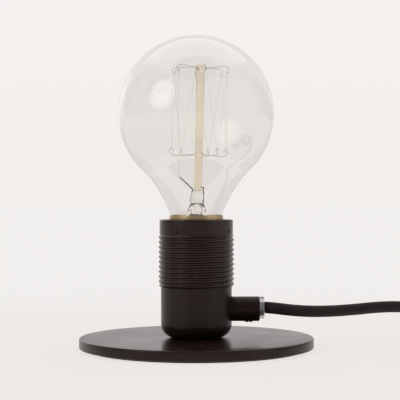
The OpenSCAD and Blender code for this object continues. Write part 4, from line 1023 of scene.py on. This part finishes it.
switch_plastic = moulded_material("grained_plastic", (0.010, 0.0096, 0.0096),
                                  (0.017, 0.0165, 0.0165), 0.52, 2400.0, 0.05)
rocker_plastic = moulded_material("smooth_plastic", (0.007, 0.007, 0.0072), (0.011, 0.011, 0.0112),
                                  0.24, 900.0, 0.01)
plug_plastic = moulded_material("plug_plastic", (0.012, 0.0112, 0.0108), (0.020, 0.0188, 0.0182),
                                0.46, 1800.0, 0.04)
shell_low = stacked("switch_lower_half", SWITCH_L, SWITCH_W, SWITCH_CORNER,
                    round_edge(0.0, 1.0, -1) + round_edge(SPLIT_Z - 0.06, 0.3, 1, 3),
                    switch_plastic)
for x in (-SWITCH_SCREW_X, SWITCH_SCREW_X):
    recess = turned("screw_recess", [(0, -1.0), (2.8, -1.0), (2.8, 3.0), (1.6, 3.0), (1.6, 10.0),
                                     (0, 10.0)], switch_plastic, 48, closed=False)
    recess.data.transform(SWITCH_MIDDLE @ Matrix.Translation((x * MM, 0, 0)))
    cut_away(shell_low, recess)
stand_for(shell_low, "stand", "switch_plastic", "switch_base")

shell_high = stacked("switch_upper_half", SWITCH_L, SWITCH_W, SWITCH_CORNER,
                     round_edge(SPLIT_Z + 0.06, 0.3, -1, 3) + round_edge(SWITCH_H, 3.6, 1, 10),
                     switch_plastic)
for name, length, width, radius, levels in (
        ("sunk_frame", 27.0, 16.0, 2.4, [(16.2, 0.8), (16.9, 0.1), (18.0, -0.6)]),
        ("window", ROCKER_L + 1.4, ROCKER_W + 0.8, 0.8, [(10.0, 0.0), (18.0, 0.0)])):
    cut_away(shell_high, stacked(name, length, width, radius, levels, switch_plastic))
stand_for(shell_high, "stand", "switch_plastic", "switch_cover")


def rocker_outline():
    """The rocker from its side, in mm about its axle: a hollowed top, three ribs at each end."""
    half, top = ROCKER_L / 2, []
    for i in range(97):
        x = half - 0.5 - (ROCKER_L - 1.0) * i / 96
        rib = sum(max(0.0, 1 - ((abs(x) - at) / 0.42) ** 2) for at in (5.6, 6.9, 8.2))
        top.append((x, 4.2 - 1.1 * (1 - (x / half) ** 2) - 0.3 + 0.3 * rib))
    return ([(-half, -1.2), (-2.0, -2.8), (2.0, -2.8), (half, -1.2), (half, 3.6)] + top
            + [(-half, 3.6)])


half = ROCKER_W / 2
rocker_mesh = skinned("rocker", [[
    [(x * (1 - 0.03 * drawn) * MM, y * MM, (z - 0.35 * drawn * (z > 0)) * MM)
     for x, z in rocker_outline()]
    for y, drawn in ((-half, 1.0), (-half + 0.12, 0.4), (-half + 0.45, 0.0),
                     (half - 0.45, 0.0), (half - 0.12, 0.4), (half, 1.0))]])
rocker_mesh.transform(SWITCH_MIDDLE @ Matrix.Translation((0, 0, ROCKER_UP * MM))
                      @ Matrix.Rotation(math.radians(-ROCKER_TILT), 4, "Y"))
rocker = add_piece("rocker_cap", rocker_mesh, rocker_plastic, 40)
stand_for(rocker, "rocker", "rocker_plastic", "switch_rocker")


def boot(name, path, radii, material):
    """A tapered sleeve with flex grooves round a cord, along path in metres, thick end first."""
    stack = []
    for i, p in enumerate(path):
        across = Vector((0, 0, 1)).cross(heading(path, i)).normalized()
        stack.append(ring(p, across, heading(path, i).cross(across), radii[i] * MM, BOOT_SIDES))
    piece = add_piece(name, skinned(name, [stack]), material, 40)
    stand_for(piece, "stand", "switch_plastic")
    return piece


def boot_run(path, length, steps=60):
    """Even points along the first length of a path, and the boot's radius in mm at each."""
    run, points, at = 0.0, [path[0]], 0
    for a, b in zip(path, path[1:]):
        run += (b - a).length
        while len(points) <= steps and run >= length * len(points) / steps:
            back = run - length * len(points) / steps
            points.append(b + (a - b).normalized() * back)
    radii = []
    for i in range(len(points)):
        t = i / steps
        groove = 0.55 * max(0.0, math.sin(2 * math.pi * (5 * t - 0.25))) if 0.08 < t < 0.92 else 0.0
        radii.append(4.7 - 1.25 * t - groove)
    radii[-1] -= 0.25
    return points, radii


BOOT_L = 22.0 * MM
lead_boot = boot("switch_boot_lamp_side", *boot_run(lead_path[::-1], BOOT_L), plug_plastic)
far_boot = boot("switch_boot_plug_side", *boot_run(far_path, BOOT_L), plug_plastic)

# ---- Plug ----
# A flat two-pin plug, moulded on to the cord in black plastic: a waisted body with grip ridges, a
# ribbed tapered sleeve that keeps the cord from kinking, and two plated pins with sleeved roots.
PLUG_X, PLUG_Y, PLUG_Z, SLEEVE_L, PLUG_L = 182.0, -46.0, 7.0, 20.0, 34.0


def at_plug(piece):
    """Lays a piece made about the Z axis along the plug's own axis, which points along -X."""
    piece.data.transform(Matrix.Translation((PLUG_X * MM, PLUG_Y * MM, PLUG_Z * MM))
                         @ Matrix.Rotation(math.radians(-90), 4, "Y"))


body_rings = []
for i in range(61):
    t = i / 60
    grow = min(1.0, 0.18 + 1.15 * math.sin(math.pi / 2 * min(1.0, t / 0.42)) ** 1.6)
    waist = 0.05 * math.sin(math.pi * max(0.0, (t - 0.42) / 0.58))
    ridge = 0.28 * max(0.0, math.sin(2 * math.pi * 9 * t)) if 0.40 < t < 0.86 else 0.0
    draw = 0.7 * max(0.0, (t - 0.965) / 0.035) ** 2
    wide = 6.9 + 10.6 * (min(1.0, max(0.0, grow - 0.18) / 0.82) - waist) - draw
    flat = 6.55 + 0.45 * min(1.0, t / 0.3) - ridge - draw
    body_rings.append((SLEEVE_L + PLUG_L * t, flat, wide, 2.0 + 1.6 * min(1.0, t / 0.4)))
plug_body = lofted("plug_grip", [(SLEEVE_L, 5.6, 5.6, 2)] + body_rings, plug_plastic,
                   Matrix.Scale(MM, 4), 96)
at_plug(plug_body)
stand_for(plug_body, "stand", "plug_plastic", "plug_body")

sleeve_outline = [(3.05, 0.0), (4.2, 0.0), (4.45, 0.25)]
for i in range(1, 96):
    t = i / 96
    groove = 0.75 * max(0.0, math.sin(2 * math.pi * (5.5 * t - 0.3))) if 0.07 < t < 0.93 else 0.0
    sleeve_outline.append((4.45 + 1.5 * t - groove, SLEEVE_L * t))
sleeve = turned("plug_sleeve_ribbed", sleeve_outline + [(5.95, SLEEVE_L), (3.05, SLEEVE_L)],
                plug_plastic, 64)
at_plug(sleeve)
stand_for(sleeve, "stand", "plug_plastic", "plug_sleeve")

# ---- Small metal and the pieces inside ----
# What the lamp's own shapes carry over from the frame: the nut, washer and nipple under the cup,
# the white ceramic with its rolled brass screw shell, contacts and screws, and the wires.


def ceramic_material():
    material, made = new_material("white_ceramic")
    specks = object_texture(made, "ShaderNodeTexVoronoi", 600.0).outputs["Distance"]
    cloud = object_texture(made, "ShaderNodeTexNoise", 120.0, Detail=4.0).outputs["Fac"]
    principled(made, Base_Color=made.blend(cloud, (0.72, 0.69, 0.63), (0.84, 0.82, 0.77)),
               Normal=relief(made, specks, 0.15, 0.05), Roughness=0.28, Coat_Weight=0.3)
    return material


def insulation_material():
    """Brown and blue wire insulation, split at the lamp's middle plane, with a soft drawn sheen."""
    material, made = new_material("wire_insulation")
    split = made.add("ShaderNodeSeparateXYZ",
                     Vector=made.add("ShaderNodeTexCoord").outputs["Object"]).outputs
    side = made.sum("GREATER_THAN", split["Y"], 0.0)
    grain = object_texture(made, "ShaderNodeTexNoise", 400.0).outputs["Fac"]
    principled(made, Base_Color=made.blend(side, (0.085, 0.032, 0.014), (0.020, 0.075, 0.23)),
               Roughness=made.between(grain, 0.35, 0.55))
    return material


def plain_textile_material():
    """The cord's sleeve inside the cup: woven dark thread, from two crossed bands of wave, with
    painted shade darkening the weave's low places.
    """
    material, made = new_material("inner_textile")
    cross = made.sum("MULTIPLY", *(object_texture(
        made, "ShaderNodeTexWave", 260.0, {"bands_direction": way}, Distortion=1.0).outputs["Fac"]
        for way in "XZ"))
    # The weave's low places get the darker colour: painted shade between the threads.
    principled(made, Base_Color=made.blend(cross, (0.014, 0.009, 0.0085), (0.034, 0.024, 0.022)),
               Normal=relief(made, cross, 0.6, 0.2), Roughness=0.8)
    return material


plain_textile = plain_textile_material()
zinc_steel = metal_material("zinc_steel", (0.60, 0.61, 0.60), (0.42, 0.42, 0.40), 0.30)
plain_brass = metal_material("plain_brass", (0.66, 0.49, 0.23), (0.44, 0.32, 0.16), 0.32)
spring_bronze = metal_material("spring_bronze", (0.55, 0.33, 0.17), (0.36, 0.21, 0.12), 0.30)
solder = metal_material("tin_solder", (0.62, 0.62, 0.61), (0.36, 0.36, 0.35), 0.38, size=260.0)
plated = metal_material("nickel_plate", (0.68, 0.66, 0.62), (0.55, 0.53, 0.49), 0.16, size=90.0)
black_glass = moulded_material("black_glass", (0.006, 0.006, 0.008), (0.016, 0.015, 0.020), 0.12,
                               500.0, 0.02)
white_ceramic, wire_insulation = ceramic_material(), insulation_material()
CARRIED = {
    zinc_steel: ("base_nut", "lock_washer", "shell_rivets", "contact_screw", "neutral_screw",
                 "terminal_screws", "switch_screws"),
    plain_brass: ("base_nipple", "outlet_nut", "screw_shell", "terminal_live", "terminal_neutral",
                  "switch_contacts"),
    spring_bronze: ("contact_spring",), solder: ("solder_contact",), plated: ("plug_pins",),
    plug_plastic: ("pin_sleeves",), white_ceramic: ("socket_insert",),
    black_glass: ("cap_insulator",), wire_insulation: ("conductors",),
    plain_textile: ("inner_cord",)}
for material, names in CARRIED.items():
    for name in names:
        nodes[name].data.materials.clear()
        nodes[name].data.materials.append(material)
